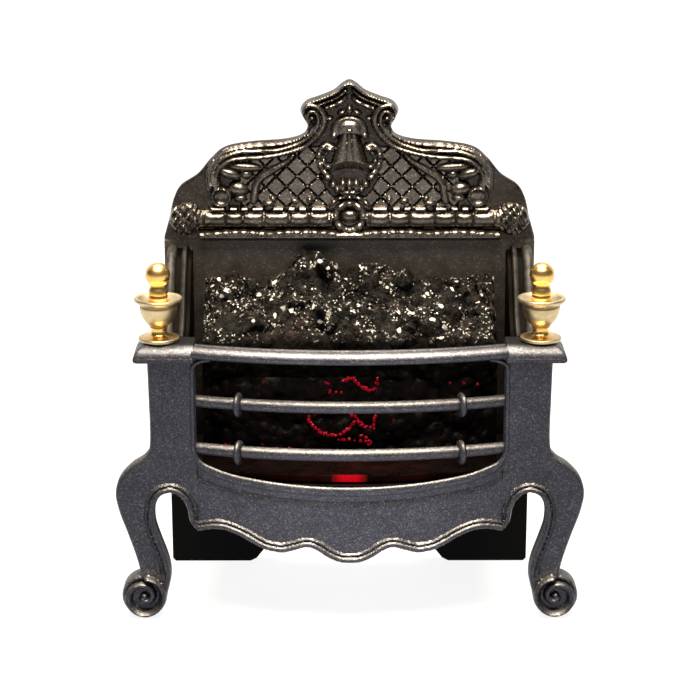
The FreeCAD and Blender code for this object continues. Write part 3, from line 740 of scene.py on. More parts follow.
def opening_bead():
    """Round bead down the sides of the opening and along its bowed foot."""
    half = OPEN_HALF + 0.35
    shoulder = [(-half + 2.2, 33.75), (-half + 1.1, 33.5), (-half + 0.25, 32.95), (-half, 32.1)]
    down = [(-half, 29.0), (-half, 26.0), (-half, 23.5)]
    corner = [(-half + 0.05, 21.9), (-half + 0.75, 20.3)]
    low = [(-17.3, 19.5), (-14.6, 18.68), (-9.8, 18.0), (-4.9, 17.62)]
    path = curve(symmetric(shoulder + down + corner + low, (0.0, 17.5)), 6)
    around = whole_turn(16)
    out = 0.368 * np.cos(around)
    rings = []
    for (x, z), (side_x, side_z) in zip(path, leftward(path)):
        across = (0.3 + 0.3 * smoothstep(-z, -21.5, -19.0)) * np.sin(around)
        ring_x = x + side_x * across
        rings.append(np.stack([ring_x, bow_y(ring_x, 0.05) - out, z + side_z * across], 1))
    return loft(rings)


def apron():
    """Bowed lower front with its wavy edge, and the bead around the opening."""
    loop = np.vstack([APRON_LOW, RIM[::-1]])

    def front(points):
        low, _ = nearest(points, APRON_LOW)
        rim, _ = nearest(points, RIM)
        height = bead(low) - rounding(low, 0.3)
        height -= 0.22 * np.exp(-((rim - 1.25) / 0.45) ** 2)
        return bow_y(points[:, 0]) - height

    def back(points):
        return bow_y(points[:, 0], -PLATE_T)

    part = join([relief(loop, CASTING_STEP, front, back), opening_bead()])
    piece("apron_casting", *part, PAINT, ["apron"], sharp=50)


def along_bow(profile, half, steps, radius):
    """Skin of a (proud, z) profile carried along the bow at this radius."""
    rings = []
    for x in np.linspace(-half, half, steps):
        turn = math.asin(x / radius)
        rings.append([((radius + proud) * math.sin(turn),
                       BOW_CENTRE_Y - (radius + proud) * math.cos(turn), z)
                      for proud, z in profile])
    return loft(rings)


def rail():
    """Top rail: a rounded nose with a thin fillet line along its top."""
    under = [(-1.8, 33.9), (-1.55, 33.66)]
    nose = curve([(0.2, 33.7), (0.62, 33.82), (0.88, 34.15), (0.84, 34.55), (0.58, 34.9),
                  (0.15, 35.12), (-0.25, 35.16)], 6).tolist()
    fillet = [(-0.38, 35.06), (-0.44, 35.22), (-0.58, 35.36), (-0.78, 35.36), (-0.9, 35.2)]
    top = [(-1.5, 35.15), (-1.78, 34.95)]
    profile = under + nose + fillet + top
    part = along_bow(profile[::-1], CAP_X[0] - 0.02, 90, BOW_R)
    piece("top_rail_moulding", *part, PAINT, ["top_rail"], sharp=50)


def bar(node, z):
    """Round bar across the opening, bent to the bow."""
    profile = [(BAR_R * math.cos(a), z + BAR_R * math.sin(a)) for a in whole_turn(24)]
    part = along_bow(profile, OPEN_HALF, 80, BOW_R - BAR_INSET)
    piece(node + "_rod", *part, PAINT, [node])


def collar(x, z):
    """Rounded ring about a bar, from its (along, radius) profile."""
    profile = [(-0.46, 0.76), (-0.44, 1.05), (-0.32, 1.35), (-0.12, 1.5),
               (0.12, 1.5), (0.32, 1.35), (0.44, 1.05), (0.46, 0.76)]
    radius = BOW_R - BAR_INSET
    turn = math.asin(x / radius)
    centre = np.array([radius * math.sin(turn), BOW_CENTRE_Y - radius * math.cos(turn), z])
    along = np.array([math.cos(turn), math.sin(turn), 0.0])
    outward = np.array([math.sin(turn), -math.cos(turn), 0.0])
    upward = np.array([0.0, 0.0, 1.0])
    around = whole_turn(40)[:, None]
    spoke = outward * np.cos(around) + upward * np.sin(around)
    return loft([centre + along * place + r * spoke for place, r in profile], closed=True)


def collars():
    """The rings near the ends of both bars."""
    parts = [collar(x, z - COLLAR_DROP) for z in BAR_ZS.values() for x in (-COLLAR_X, COLLAR_X)]
    piece("bar_collar_rings", *join(parts), PAINT, ["bar_collars"])


def cap(side):
    """Moulded cap: a short upright band under a deep rounded shoulder."""
    corner = 0.45
    steps = [(POST_TOP_Z, 0.4), (33.24, 0.2), (33.36, 0.05), (33.55, 0.0), (33.72, 0.0), (33.8, 0.06),
             (34.0, 0.1), (34.3, 0.22), (34.6, 0.42), (34.9, 0.74), (35.12, 1.12), (35.26, 1.55),
             (CAP_TOP_Z, 2.0)]
    rings = []
    for z, inset in steps:
        outer = CAP_X[1] - inset
        near, far = CAP_Y[0] + inset, CAP_Y[1] - inset * 0.6
        ring = [(CAP_X[0], near), *arc((outer - corner, near + corner), corner, -90, 0, 7),
                *arc((outer - corner, far - corner), corner, 0, 90, 7), (CAP_X[0], far)]
        rings.append([(x, y, z) for x, y in ring])
    paired(side, "cap", "moulding", loft(rings), PAINT, sharp=50)


# ---- finials

def finial(side):
    """Turned urn on a disc, and the ball that stands in it on a grooved stem."""
    disc = curve([(2.3, URN_FOOT_Z), (2.5, 35.42), (2.54, 35.6), (2.5, 35.78), (2.3, 35.86)], 4)
    neck = curve([(1.7, 35.92), (1.15, 36.15), (0.98, 36.6), (1.0, 36.95)], 5)
    knot = curve([(1.02, 37.0), (1.16, 37.06), (1.12, 37.2)], 4)
    cup = curve([(1.16, 37.24), (1.5, 37.6), (1.92, 38.2), (2.2, 38.9), (2.32, 39.5), (2.3, 39.72)], 6)
    lip = curve([(2.22, 39.78), (2.3, 39.92), (2.62, 40.12), (2.92, 40.38), (2.98, 40.6),
                 (2.88, 40.78)], 5)
    bowl = [(2.62, 40.8), (2.4, 40.68), (2.0, 40.45), (1.3, URN_INSIDE_Z)]
    outline = [(PIN_R, URN_FOOT_Z), *disc, *neck, *knot, *cup, *lip, *bowl, (PIN_R, URN_INSIDE_Z)]
    paired(side, "urn", "turning", turned(outline, FINIAL), URN_BRASS, slot="brass", sharp=40)
    stem = [(1.16, URN_INSIDE_Z), (1.2, 40.4), (1.2, 41.0), (1.12, 41.1), (1.12, 41.18),
            (1.2, 41.26), (1.18, 41.7), (1.08, 41.95), (STEM_TOP_R, 42.15)]
    joint = math.degrees(math.acos(STEM_TOP_R / BALL_R))
    ball = arc((0.0, BALL_Z), BALL_R, -joint, 89, 40)
    outline = [(PIN_R, URN_INSIDE_Z), *stem, *ball]
    paired(side, "ball", "turning", turned(outline, FINIAL), BALL_BRASS, slot="brass", sharp=40)


# ---- fireback

CREST_HALF = [
    (23.9, 44.4), (23.2, 46.9), (22.6, 49.4), (21.6, 51.2), (19.4, 52.7), (17.7, 54.7),
    (15.8, 56.2), (12.4, 56.85), (8.4, 57.15), (6.1, 57.75), (5.35, 58.75), (5.9, 59.9),
    (6.25, 61.0), (5.5, 62.1), (3.8, 62.75), (2.0, 63.5), (0.9, 64.4),
]
CREST_PEAK = (0, 64.8)
CREST = curve(symmetric(CREST_HALF, CREST_PEAK))
ROOF = curve([(6.2, 61.0), (5.5, 62.1), (3.8, 62.75), (2.0, 63.5), (0.9, 64.4), CREST_PEAK])

SCROLL_OUTER = curve([
    (17.85, 50.9), (17.95, 52.5), (17.5, 53.8), (16.6, 54.9), (15.2, 55.8), (12.3, 56.3),
    (9.0, 56.6), (6.9, 57.1), (5.5, 57.9),
])
SCROLL_MIDDLE = curve([
    (17.45, 51.3), (17.5, 52.7), (17.0, 53.95), (16.0, 54.9), (14.1, 55.6), (11.5, 55.75),
    (9.3, 55.85), (7.9, 56.2), (6.4, 56.75), (5.1, 57.6), (4.15, 58.8), (3.95, 59.9), (4.3, 60.75),
    (5.0, 60.8), (5.4, 60.2), (5.2, 59.4),
])
SCROLL_INNER = curve([
    (17.1, 50.8), (17.1, 52.3), (16.6, 53.5), (15.4, 54.45), (14.0, 54.8), (11.5, 54.95),
    (9.0, 55.3), (6.4, 56.05), (5.2, 56.7), (3.9, 58.0), (3.25, 59.3), (3.35, 60.5), (4.1, 61.4),
    (5.1, 61.65), (5.75, 61.2), (5.95, 60.4), (5.7, 59.5),
])
LEAF_STEM = curve([
    (7.2, 55.2), (7.95, 54.4), (9.0, 53.75), (10.2, 53.0), (11.25, 52.3), (11.85, 51.5),
    (12.1, 50.5), (12.3, 49.2),
])
# Centre, half-width, half-height, height and tilt of each lobe of the leaf
LEAF_LOBES = (
    (13.3, 53.65, 2.275, 0.72, 1.2075, 4), (15.3, 52.8, 1.625, 0.8, 1.3225, 20),
    (13.2, 52.7, 0.78, 0.672, 1.15, 25), (14.2, 50.75, 1.365, 1.04, 1.38, 16),
    (14.0, 49.6, 0.936, 0.576, 1.15, 0), (16.85, 51.4, 0.39, 0.72, 1.035, 0),
    (10.35, 48.95, 0.975, 0.48, 1.15, -8), (9.8, 49.55, 0.52, 0.4, 1.035, 40),
    (7.0, 49.2, 0.65, 0.448, 0.92, 15), (5.1, 49.3, 0.455, 0.56, 1.035, 0))
CURL = (16.45, 49.75)
SCROLL_EYE = (4.78, 59.95)

# The border of the shell: curled leaves (line, half width), and drops (x, z, half width,
# half height)
SHELL_LEAVES = (
    (curve([(2.2, 56.2), (3.0, 56.4), (3.7, 55.8), (3.9, 54.7), (3.6, 53.5), (2.9, 52.7)]), 0.45),
    (curve([(2.9, 55.5), (3.3, 54.8), (3.1, 53.9), (2.6, 53.6)]), 0.32),
    (curve([(0.0, 49.75), (0.9, 49.7), (1.8, 49.3), (2.3, 48.8)]), 0.34))
SHELL_DROPS = ((2.5, 56.0, 0.75, 0.42), (2.72, 53.7, 0.5, 0.42), (2.75, 52.3, 0.6, 0.52),
               (2.1, 51.35, 0.55, 0.6), (1.55, 50.7, 0.4, 0.55))
HOOD_LOW_Z = 58.1
DRAPE_Z = (53.0, 58.4)

BAR_ORNAMENT_Z = 46.75
BAR_ORNAMENT_X = (2.2, 19.4)
BAR_JOINTS_X = (2.6, 5.2, 7.7, 11.0, 13.7, 15.9, 18.7)
COMB_Z = 48.15
MIDDLE_ROSETTE = (0.0, 47.1)
ROSETTE = (21.0, 46.8)
PEARLS = 15
PEARL_PITCH = 1.14
LATTICE_PITCH = 1.9


def scroll_ornament(p, raise_to):
    """Long S scroll of three ridges whose upper end curls over an eye, with its leaf."""
    ridges = ((SCROLL_OUTER, 0.3, 0.85), (SCROLL_MIDDLE, 0.36, 1.05), (SCROLL_INNER, 0.4, 1.2))
    for line, half, height in ridges:
        gap, _ = nearest(p, line)
        raise_to(ridge(gap, half, height))
        raise_to(np.where(gap < 0.5, 0.3, 0.0))
    raise_to(dome(p, *SCROLL_EYE, 0.42, 0.42, 1.1))
    gap, run = nearest(p, LEAF_STEM)
    raise_to(ridge(gap, 0.3 + 0.24 * smoothstep(run, 0.0, 4.0), 1.15))
    for lobe in LEAF_LOBES:
        raise_to(dome(p, *lobe))
    away = away_from(p, CURL)
    raise_to(np.where(away < 1.3, 0.75 - 0.3 * smoothstep(-away, -1.1, -0.3), 0.0))
    raise_to(ridge(np.abs(away - 1.12), 0.28, 1.1))


def shell_ornament(p, raise_to):
    """Hooded shell with fluted drapery over a toothed base, between curled leaves."""
    x, z = p.T
    away = np.hypot(x / 2.35, (z - 58.3) / 2.0)
    hood = 1.25 * np.sqrt(np.clip(1 - away ** 2, 0, 1)) + 0.12 * np.cos(away * 14.0) * (away < 1)
    raise_to(np.where(z > HOOD_LOW_Z - 0.12 * x ** 2, hood, 0.0))
    raise_to(dome(p, 1.95, 57.7, 0.5, 0.55, 1.1))
    fan = np.arctan2(x, 62.0 - z)
    flute = 0.66 + 0.34 * np.abs(np.cos(16.0 * fan + 0.5))
    width = 1.0 + 0.3 * (58.6 - z)
    bell = np.sqrt(np.clip(1 - (x / width) ** 2, 0, 1)) * smoothstep(z + 0.1 * x ** 2, 53.2, 54.6)
    raise_to(np.where((z > DRAPE_Z[0]) & (z < DRAPE_Z[1]), 1.2 * bell * flute, 0.0))
    for cx in (0.0, 0.85):
        raise_to(dome(p, cx, 51.1, 0.46, 1.1, 1.3))
    raise_to(dome(p, 0.0, 50.3, 1.7, 0.42, 1.15))
    for line, half in SHELL_LEAVES:
        gap, run = nearest(p, line)
        raise_to(ridge(gap, half, 1.05) * (0.86 + 0.14 * np.cos(5.0 * run)))
    for drop in SHELL_DROPS:
        raise_to(dome(p, *drop, 1.2))


def roof_ornament(p, raise_to):
    """Three ridges under each slope of the roof, and the drop where they meet."""
    x = p[:, 0]
    gap, run = nearest(p, ROOF)
    slope = smoothstep(x, 0.25, 0.5)
    raise_to(ridge(np.abs(gap - 0.36), 0.32, 1.0) * np.maximum(slope, gap < 0.8))
    raise_to(ridge(np.abs(gap - 0.98), 0.26, 0.9) * slope * (x < 4.4))
    beaded = ridge(np.abs(gap - 1.7), 0.36, 1.0) - 0.12 * np.cos(run * 7.0) * (gap < 2.0)
    raise_to(beaded * slope * (x < 3.1) * (gap > 1.4))
    raise_to(dome(p, 0.0, 61.0, 0.4, 0.75, 1.2))
    raise_to(dome(p, 1.0, 60.7, 0.6, 0.32, 0.9, -25))
    raise_to(dome(p, 2.5, 59.9, 0.4, 0.35, 1.0))


def bar_ornament(p, raise_to):
    """Segmented bar under a comb of short teeth."""
    x, z = p.T
    cut = np.min(np.abs(x[:, None] - np.array(BAR_JOINTS_X)), axis=1)
    swell = 0.82 + 0.18 * smoothstep(cut, 0.0, 0.9) - 0.2 * np.exp(-(cut / 0.14) ** 2)
    segments = ridge(z - BAR_ORNAMENT_Z, 1.05, 1.2) * swell
    raise_to(np.where((x > BAR_ORNAMENT_X[0]) & (x < BAR_ORNAMENT_X[1]), segments, 0.0))
    comb = 0.5 + 0.5 * np.cos(2 * math.pi * x / 1.9 + 1.6 * np.sin(0.9 * x))
    teeth = ridge(z - COMB_Z, 0.42, 1.0) * smoothstep(comb, 0.08, 0.4)
    raise_to(np.where((x > 2.6) & (x < 18.2), teeth, 0.0))


def rosettes(p, raise_to):
    """Ringed boss in the middle of the bar, and a rough boss at each end."""
    x, z = p.T
    away = away_from(p, MIDDLE_ROSETTE)
    turn = np.arctan2(z - MIDDLE_ROSETTE[1], x)
    ring = ridge(np.abs(away - 1.75), 0.58, 0.9 + 0.3 * np.cos(4 * turn) ** 2)
    raise_to(np.where(away < 2.35, np.maximum(ring, 0.25), 0.0))
    raise_to(dome(p, 0.0, MIDDLE_ROSETTE[1] + 0.1, 1.2, 1.0, 1.25))
    away = away_from(p, ROSETTE)
    grain = 0.2 * np.sin(5.2 * x + 1.1) * np.sin(5.6 * z) + 0.14 * np.sin(9.1 * x + 4.0 * z)
    raise_to((np.sqrt(np.clip(1 - (away / 2.2) ** 4, 0, 1)) + grain) * (away < 2.15))


def ledge_ornament(p, raise_to):
    """Round ledge over the panel with a row of pearls along it."""
    x, z = p.T
    raise_to(np.where(x < PANEL_HALF + 0.2, ridge(z - (LEDGE_Z - 0.6), 0.72, 1.25), 0.0))
    for index in range(PEARLS):
        size = 0.42 + 0.3 * abs(math.sin(2.7 * index)) - 0.008 * index
        place = BAR_ORNAMENT_X[0] + PEARL_PITCH * index
        raise_to(dome(p, place, LEDGE_Z - 0.2, 0.95, size, 1.3))


def lattice_ornament(p, raise_to):
    """Raised squares set on point, with a bead where the grooves cross."""
    x, z = p.T
    u, v = (x + z) / math.sqrt(2) / LATTICE_PITCH, (x - z) / math.sqrt(2) / LATTICE_PITCH
    cell = np.maximum(np.abs(u % 1 - 0.5), np.abs(v % 1 - 0.5))
    cross = np.hypot((u + 0.5) % 1 - 0.5, (v + 0.5) % 1 - 0.5) * LATTICE_PITCH
    outside_shell = np.hypot(x / 3.7, (z - 53.4) / 4.4) > 1
    field = outside_shell & (x > 1.0) & (x < 14.0) & (z > 48.3) & (z < 56.2)
    raise_to(np.where(field, 0.4 * smoothstep(-cell, -0.488, -0.43), 0.0))
    raise_to(np.where(field, ridge(cross, 0.2, 0.55), 0.0))


def crest_relief(points):
    """Height of the crest's ornament, the same on both sides of the middle."""
    p = np.stack([np.abs(points[:, 0]), points[:, 1]], 1)
    height = np.zeros(len(p))

    def raise_to(value):
        np.maximum(height, value, out=height)

    for ornament in (lattice_ornament, scroll_ornament, shell_ornament, roof_ornament,
                     bar_ornament, rosettes, ledge_ornament):
        ornament(p, raise_to)
    return height


def fireback():
    """Back plate: carved crest, plain panel, and a foot with an arched gap in its middle."""
    arch = arc(BACK_ARCH, BACK_ARCH_R, -BACK_ARCH_DIP, 180.0 + BACK_ARCH_DIP, 60)
    inner, outer = BACK_FOOT_X
    foot = [(inner, BACK_FOOT_R), (inner + 2 * BACK_FOOT_R, 0.0), (outer - BACK_FOOT_R, 0.0),
            (outer, BACK_FOOT_R)]
    loop = np.vstack([CREST, [(-x, z) for x, z in reversed(foot)], arch[::-1], foot])
    edge = np.vstack([loop, loop[:1]])

    def front(points):
        around, _ = nearest(points, edge)
        x, z = points.T
        height = np.where(z > CREST_FOOT_Z, crest_relief(points), 0.0)
        panel = (np.abs(x) < PANEL_HALF) & (z < LEDGE_Z - 1.1) & (z > PANEL_LOW_Z)
        height += np.where(panel, PANEL_PROUD, 0.0)
        fall = np.where(z > CREST_FOOT_Z, rounding(around, 0.3), 0.0)
        return BACK_Y - height * smoothstep(around, 0.0, 0.2) + fall

    def back(points):
        around, _ = nearest(points, edge)
        fall = np.where(points[:, 1] > CREST_FOOT_Z, rounding(around, BACK_EDGE_R), 0.0)
        return BACK_Y + BACK_T - fall

    part = relief(loop, CREST_STEP, front, back, back_step=2.5,
                  low_z=CREST_FOOT_Z + 0.3, coarse=PLAIN_STEP)
    piece("fireback_casting", *part, BACK_PAINT, ["fireback"], slot="fireback_black")


# ---- cheeks

CHEEK_TOP = curve([
    (CHEEK_FRONT_Y, 34.75), (0.1, 35.5), (2.3, 37.4), (4.5, 40.2), (6.9, 42.5), (9.0, 43.3),
    (BACK_Y, 43.4),
])


def cheek(side):
    """Side plate under a broad rim: an inner bead, a flat and an outer roll."""
    bead_edge = [(0.0, -0.6), (0.45, -0.55), (0.52, -0.1), (0.75, -0.1), (1.0, 0.12), (1.22, -0.1)]
    flat = [(1.3, -0.35), (1.9, -0.35)]
    roll = [(2.05, -0.1), (2.3, 0.18), (2.7, 0.26), (3.05, 0.12), (3.2, -0.15)]
    underside = [(3.15, -0.6), (2.8, -0.95), (1.3, -1.1), (0.0, -1.1)]
    profile = bead_edge + flat + roll + underside
    up = leftward(CHEEK_TOP)
    rings = []
    for (y, z), (up_y, up_z) in zip(CHEEK_TOP, up):
        rings.append([(CHEEK_X + w, min(y + up_y * h, BACK_Y), z + up_z * h - 0.15)
                      for w, h in profile])
    front_y = FRONT_Y + PLATE_T
    outline = np.vstack([CHEEK_TOP - up * 0.7,
                         [(BACK_Y, CHEEK_LOW_Z), (front_y, CHEEK_LOW_Z), (front_y, POST_TOP_Z),
                          (CHEEK_FRONT_Y, POST_TOP_Z)]])
    outline[:, 0] = np.clip(outline[:, 0], front_y, BACK_Y)
    verts, faces = relief(outline, 0.8, lambda p: np.full(len(p), CHEEK_X),
                          lambda p: np.full(len(p), CHEEK_X + CHEEK_T))
    plate = (verts[:, [1, 0, 2]], [tuple(reversed(f)) for f in faces])
    paired(side, "cheek", "casting", join([loft(rings), plate]), CHEEK_PAINT,
           slot="fireback_black", sharp=50)


# ---- coal insert

def rubble(u, v, count, seed, reach):
    """Height of broken lumps over a sheet: each seed point holds one tilted facet."""
    rng = np.random.default_rng(seed)
    spots = np.stack([rng.uniform(u.min(), u.max(), count), rng.uniform(v.min(), v.max(), count)], 1)
    lift = rng.uniform(0.0, 1.0, count)
    tilt = rng.normal(0, 0.45, (count, 2))
    best = np.full(u.shape, -1e9)
    for (spot_u, spot_v), top, (slope_u, slope_v) in zip(spots, lift, tilt):
        du, dv = u - spot_u, v - spot_v
        facet = top + slope_u * du + slope_v * dv - (du ** 2 + dv ** 2) / reach ** 2
        best = np.maximum(best, facet)
    return np.clip(best, -1.0, 1.4)


# The outline of the bank's top, as (x, z)
COAL_TOP = np.array([
    (-18.6, 39.3), (-13.5, 39.5), (-9.8, 40.2), (-8.0, 41.6), (-6.0, 42.7), (-4.0, 42.2),
    (-2.0, 41.0), (-0.6, 40.1), (2.0, 40.9), (5.0, 41.3), (7.5, 40.7), (9.0, 39.6), (12.0, 39.9),
    (15.0, 40.3), (18.6, 39.8),
])


def coal_rise(x):
    """How far the bank's top stands above its mean height at this X."""
    return np.interp(x, *COAL_TOP.T) - COAL_TOP_Z


def insert_piece(name, part, material, node, slot, sharp):
    """A piece that lifts out with the coals."""
    piece(name, *part, material, [node], body="coal_insert", slot=slot, sharp=sharp)


def coal_bed():
    """Closed bank of coal: a sheet of rubble over its front and top, a back and a flat underside."""
    path = curve([(COAL_FRONT_Y, COAL_LOW_Z), (COAL_FRONT_Y, 31.6), (COAL_FRONT_Y + 1.0, 33.0),
                  (3.0, 35.0), (6.6, 37.6), (COAL_BACK_Y - 0.2, COAL_TOP_Z)], 10)
    path = resample(path, 0.2)
    out = leftward(path)
    run = np.concatenate([[0], np.cumsum(np.hypot(*np.diff(path, axis=0).T))])
    xs = np.linspace(-COAL_HALF, COAL_HALF, 210)
    across, along = np.meshgrid(xs, run)
    height = 1.3 * rubble(across, along, count=110, seed=5, reach=2.8)
    height += 0.55 * rubble(across, along, count=620, seed=6, reach=1.1)
    height += 0.25 * rubble(across, along, count=2600, seed=7, reach=0.5)
    edge = smoothstep(COAL_HALF - np.abs(across), -0.1, 0.9)
    steep = smoothstep(along, 4.0, 9.0)
    height = (height - 1.1) * (0.3 + 0.7 * steep) * edge
    y = path[:, :1] + out[:, :1] * height
    z = path[:, 1:] + out[:, 1:] * height + coal_rise(across) * smoothstep(along, 9.0, run[-1])
    y = np.clip(y, COAL_FRONT_Y - 0.6, COAL_BACK_Y)
    ragged = 1 + np.sin(2.3 * along + np.sign(across))
    x = across * (1 - 0.012 * ragged * smoothstep(np.abs(across), 17.0, COAL_HALF))
    back_line = np.stack([x[0], np.full(len(xs), COAL_BACK_Y), np.full(len(xs), COAL_LOW_Z)], 1)
    part = closed_sheet(np.stack([x, y, z], 2), back_line)
    insert_piece("coal_bank", part, COAL, "coal_bed", "coal_black", sharp=30)


# The rows of lumps from front to back, as (y, z), and the cuts that shape each lump
LUMP_ROWS = ((0.8, 32.4), (2.8, 34.0), (4.8, 35.6), (6.6, 37.0), (7.7, 38.2))
ROCK_FACETS = 11


def rock(centre, size, rng):
    """Convex broken lump cut by random planes, roughened a little."""
    bm = bmesh.new()
    bmesh.ops.create_icosphere(bm, subdivisions=4, radius=1.0)
    way = np.array([v.co[:] for v in bm.verts])
    faces = [tuple(v.index for v in f.verts) for f in bm.faces]
    bm.free()
    planes = rng.normal(size=(ROCK_FACETS, 3))
    planes /= np.linalg.norm(planes, axis=1)[:, None]
    depth = rng.uniform(0.62, 1.0, ROCK_FACETS)
    toward = np.clip(way @ planes.T, 0.05, None)
    radius = np.min(depth / toward, axis=1)
    ripple = 0.03 * np.sin(9 * way[:, 0] + 7 * way[:, 1] + centre[0])
    radius = np.minimum(radius, 1.15) * (1 + ripple)
    stretch = rng.uniform(0.75, 1.2, 3)
    return centre + way * radius[:, None] * stretch * size, faces


def coal_lumps():
    """Broken lumps half buried in the bank, in rows that rise to its top."""
    rng = np.random.default_rng(31)
    parts = []
    for row, (y, z) in enumerate(LUMP_ROWS):
        for x in np.arange(-16.6 + 1.6 * (row % 2), 17.2, 3.3):
            size = rng.uniform(1.0, 1.9)
            shift = [rng.uniform(-0.8, 0.8), rng.uniform(-0.5, 0.4), rng.uniform(-0.7, 0.5)]
            spot = np.array([x, y, z]) + shift
            spot[2] += coal_rise(x) * row / (len(LUMP_ROWS) - 1)
            room = min((COAL_BACK_Y - spot[1]) / 1.38, (COAL_HALF - abs(spot[0])) / 1.3)
            parts.append(rock(spot, max(min(size, room), 0.5), rng))
    insert_piece("coal_pieces", join(parts), COAL, "coal_lumps", "coal_black", sharp=25)


def ember_block():
    """Red block: a rough front face over a thin tray that reaches the bars."""
    tray_z = EMBER_LOW_Z + EMBER_TRAY_T
    xs = np.linspace(-COAL_HALF, COAL_HALF, 190)
    across, up = np.meshgrid(xs, np.arange(tray_z, COAL_LOW_Z + 0.01, 0.2))
    rough = 0.55 * rubble(across, up, count=90, seed=8, reach=2.2)
    rough += 0.3 * rubble(across, up, count=500, seed=9, reach=0.9)
    fall = smoothstep(COAL_HALF - np.abs(across), 0.0, 1.0)
    face = np.stack([across, COAL_FRONT_Y - (rough - 0.5) * 0.9 * fall, up], 2)
    back_lines = [np.stack([xs, np.full(len(xs), COAL_BACK_Y), np.full(len(xs), z)], 1)
                  for z in (COAL_LOW_Z, tray_z)]
    lip_x = np.linspace(-COAL_HALF, COAL_HALF, 60)
    lip = list(zip(lip_x, bow_y(lip_x, -EMBER_INSET) + 0.02))
    ring = lip + [(COAL_HALF, COAL_BACK_Y), (-COAL_HALF, COAL_BACK_Y)]
    centre_y = 2.0
    reach = 18.0
    rings = []
    for rise, inset in ((0.0, 0.15), (0.15, 0.0), (0.62, 0.0), (0.78, 0.18)):
        scale = 1 - inset / reach
        rings.append([(x * scale, centre_y + (y - centre_y) * scale, EMBER_LOW_Z + rise)
                      for x, y in ring])
    part = join([closed_sheet(face, *back_lines), loft(rings)])
    insert_piece("ember_tray", part, EMBER, "ember_block", "ember_red", sharp=40)


# Each chain of glowing beads: its line, the pitch along it and the size of a bead
BEAD_CHAINS = (
    (arc((-2.2, 24.6), 3.1, 190, 335, 20), 0.27, 0.19),
    ([(0.9, 24.6), (0.2, 24.2), (1.2, 23.3), (1.9, 22.6), (3.0, 22.4), (3.2, 24.0)], 0.3, 0.22),
    ([(-0.9, 28.7), (0.4, 28.9), (1.2, 28.1), (2.6, 27.3), (3.3, 27.6)], 0.3, 0.24),
    ([(3.4, 28.2), (3.35, 29.0)], 0.4, 0.16), ([(-3.0, 28.5), (-2.8, 28.4)], 0.4, 0.22),
    ([(-2.5, 27.2), (-1.0, 27.1)], 1.3, 0.2), ([(-1.4, 21.0), (2.8, 20.6)], 0.75, 0.2),
    ([(1.6, 21.4), (2.6, 20.4)], 0.6, 0.24), ([(-15.9, 20.4), (-15.3, 20.3)], 0.5, 0.2),
    ([(-10.6, 19.9), (-7.6, 19.8)], 2.0, 0.16), ([(12.7, 28.4), (16.2, 28.3)], 3.0, 0.22),
)
BEAD_PROUD = 0.35
BEAD_STRAY = 0.14


def ember_beads():
    """Beads of clear red resin that show through the crust in broken chains."""
    rng = np.random.default_rng(17)
    parts = []
    for line, pitch, size in BEAD_CHAINS:
        for x, z in resample(line, pitch):
            stray_x, stray_z = rng.uniform(-BEAD_STRAY, BEAD_STRAY, 2)
            spot = np.array([x + stray_x, COAL_FRONT_Y - BEAD_PROUD, z + stray_z])
            parts.append(rock(spot, size * rng.uniform(0.6, 1.25), rng))
    insert_piece("ember_beads", join(parts), GLOW, "ember_block", "ember_red", sharp=60)


# ---- nodes kept from the CAD

KEPT_BEVEL = 0.08


def dress(node, material):
    """Gives a carried-over CAD node its finish and a small bevel."""
    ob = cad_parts[node]
    ob.data.materials.clear()
    ob.data.materials.append(material)
    cut = ob.modifiers.new("bevel", "BEVEL")
    cut.width = KEPT_BEVEL * MM
    cut.segments = 2
    cut.limit_method = "ANGLE"
    cut.angle_limit = math.radians(40)


# ---- build

for which in (-1, 1):
    leg(which)
    cap(which)
    finial(which)
    cheek(which)
apron()
rail()
for bar_node, bar_z in BAR_ZS.items():
    bar(bar_node, bar_z)
collars()
fireback()
coal_bed()
coal_lumps()
ember_block()
ember_beads()
dress("floor_plate", BACK_PAINT)
dress("lamp_bulb", lamp_glass())
for lamp_node in ("lamp_holder", "lamp_clip"):
    dress(lamp_node, METAL)
dress("lamp_gland", lamp_bush())


# ---- studio

BACKDROP_HALF = 1.5
SWEEP_START_Y = 0.35
SWEEP_R = 0.25


def floor_material():
    """Pale paper that gives off most of its own light."""
    m = Nodes("studio_floor", Roughness=0.9)
    cloud = m.noise(0.02)
    m.to("Base Color", m.ramp(cloud, (0.3, 0.10), (0.7, 0.11)))
    m.to("Emission Color", m.ramp(cloud, (0.3, 0.96), (0.7, 1.0)))
    m.shader.inputs["Emission Strength"].default_value = 0.92
    return m.material


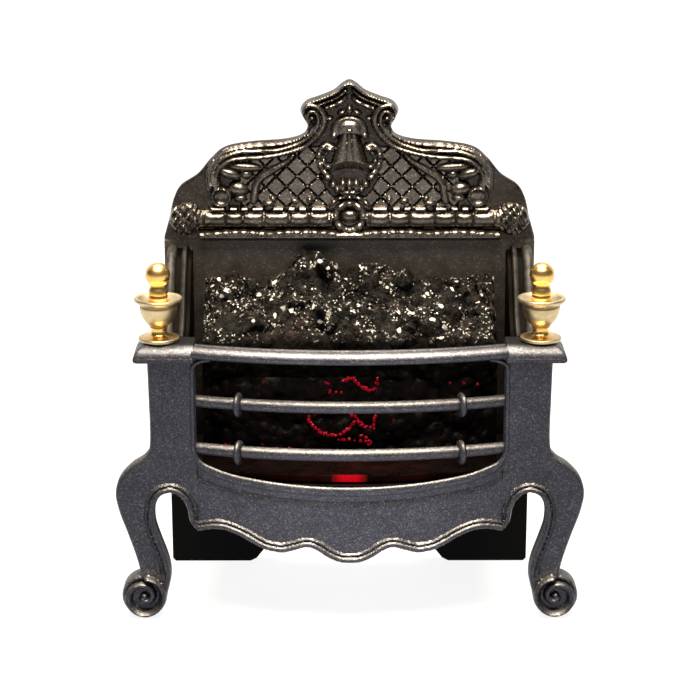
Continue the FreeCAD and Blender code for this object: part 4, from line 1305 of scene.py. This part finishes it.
def studio():
    """Pale floor that curves up into a pale backdrop."""
    sweep = [(SWEEP_START_Y + SWEEP_R * math.sin(a), SWEEP_R - SWEEP_R * math.cos(a))
             for a in np.linspace(0.1, math.pi / 2, 12)]
    line = [(-1.2, 0.0), (SWEEP_START_Y, 0.0), *sweep, (SWEEP_START_Y + SWEEP_R, 1.2)]
    verts = [(x, y, z) for y, z in line for x in (-BACKDROP_HALF, BACKDROP_HALF)]
    faces = [(2 * i, 2 * i + 1, 2 * i + 3, 2 * i + 2) for i in range(len(line) - 1)]
    ob = placed("backdrop", smooth_mesh("backdrop", verts, faces, floor_material()))


def aimed(ob, place, target):
    """Stands a light or camera at a place so that it looks at its target."""
    ob.location = place
    ob.rotation_euler = (target - place).to_track_quat("-Z", "Y").to_euler()


def lamp(name, place, target, size, power, colour):
    """Rectangular soft light that faces its target."""
    light = bpy.data.lights.new(name, "AREA")
    light.shape = "RECTANGLE"
    light.size, light.size_y = size
    light.energy = power
    light.color = colour
    aimed(placed(name, light), Vector(place), Vector(target))


CAMERA_DISTANCE = 0.300
CAMERA_AZIMUTH = -0.2
CAMERA_ELEVATION = 15.5
TARGET_Z_MM = 34.78
SENSOR = 36.0
FRAME_WIDTH = 0.0855641


def camera():
    """Camera in front of the grate, a little above it and a touch to its left."""
    view = bpy.data.cameras.new("camera")
    view.sensor_width = SENSOR
    view.lens = SENSOR * CAMERA_DISTANCE / FRAME_WIDTH
    view.clip_start = 0.01
    target = Vector((0.0, FRONT_Y, TARGET_Z_MM)) * MM
    azimuth, elevation = math.radians(CAMERA_AZIMUTH), math.radians(CAMERA_ELEVATION)
    level = math.cos(elevation)
    back = Vector((math.sin(azimuth) * level, -math.cos(azimuth) * level, math.sin(elevation)))
    ob = placed("camera", view)
    aimed(ob, target + back * CAMERA_DISTANCE, target)
    bpy.context.scene.camera = ob


def sky():
    """Faint cool light from all round."""
    world = bpy.data.worlds.new("studio")
    world.use_nodes = True
    background = world.node_tree.nodes["Background"]
    background.inputs["Color"].default_value = (0.72, 0.83, 1.0, 1.0)
    background.inputs["Strength"].default_value = 0.14
    bpy.context.scene.world = world


studio()
lamp("top", place=(0.0, -0.05, 0.42), target=(0.0, 0.0, 0.03), size=(0.30, 0.36), power=12.5,
     colour=(1.0, 0.87, 0.67))
sky()
bpy.context.scene.view_settings.view_transform = "Standard"
camera()
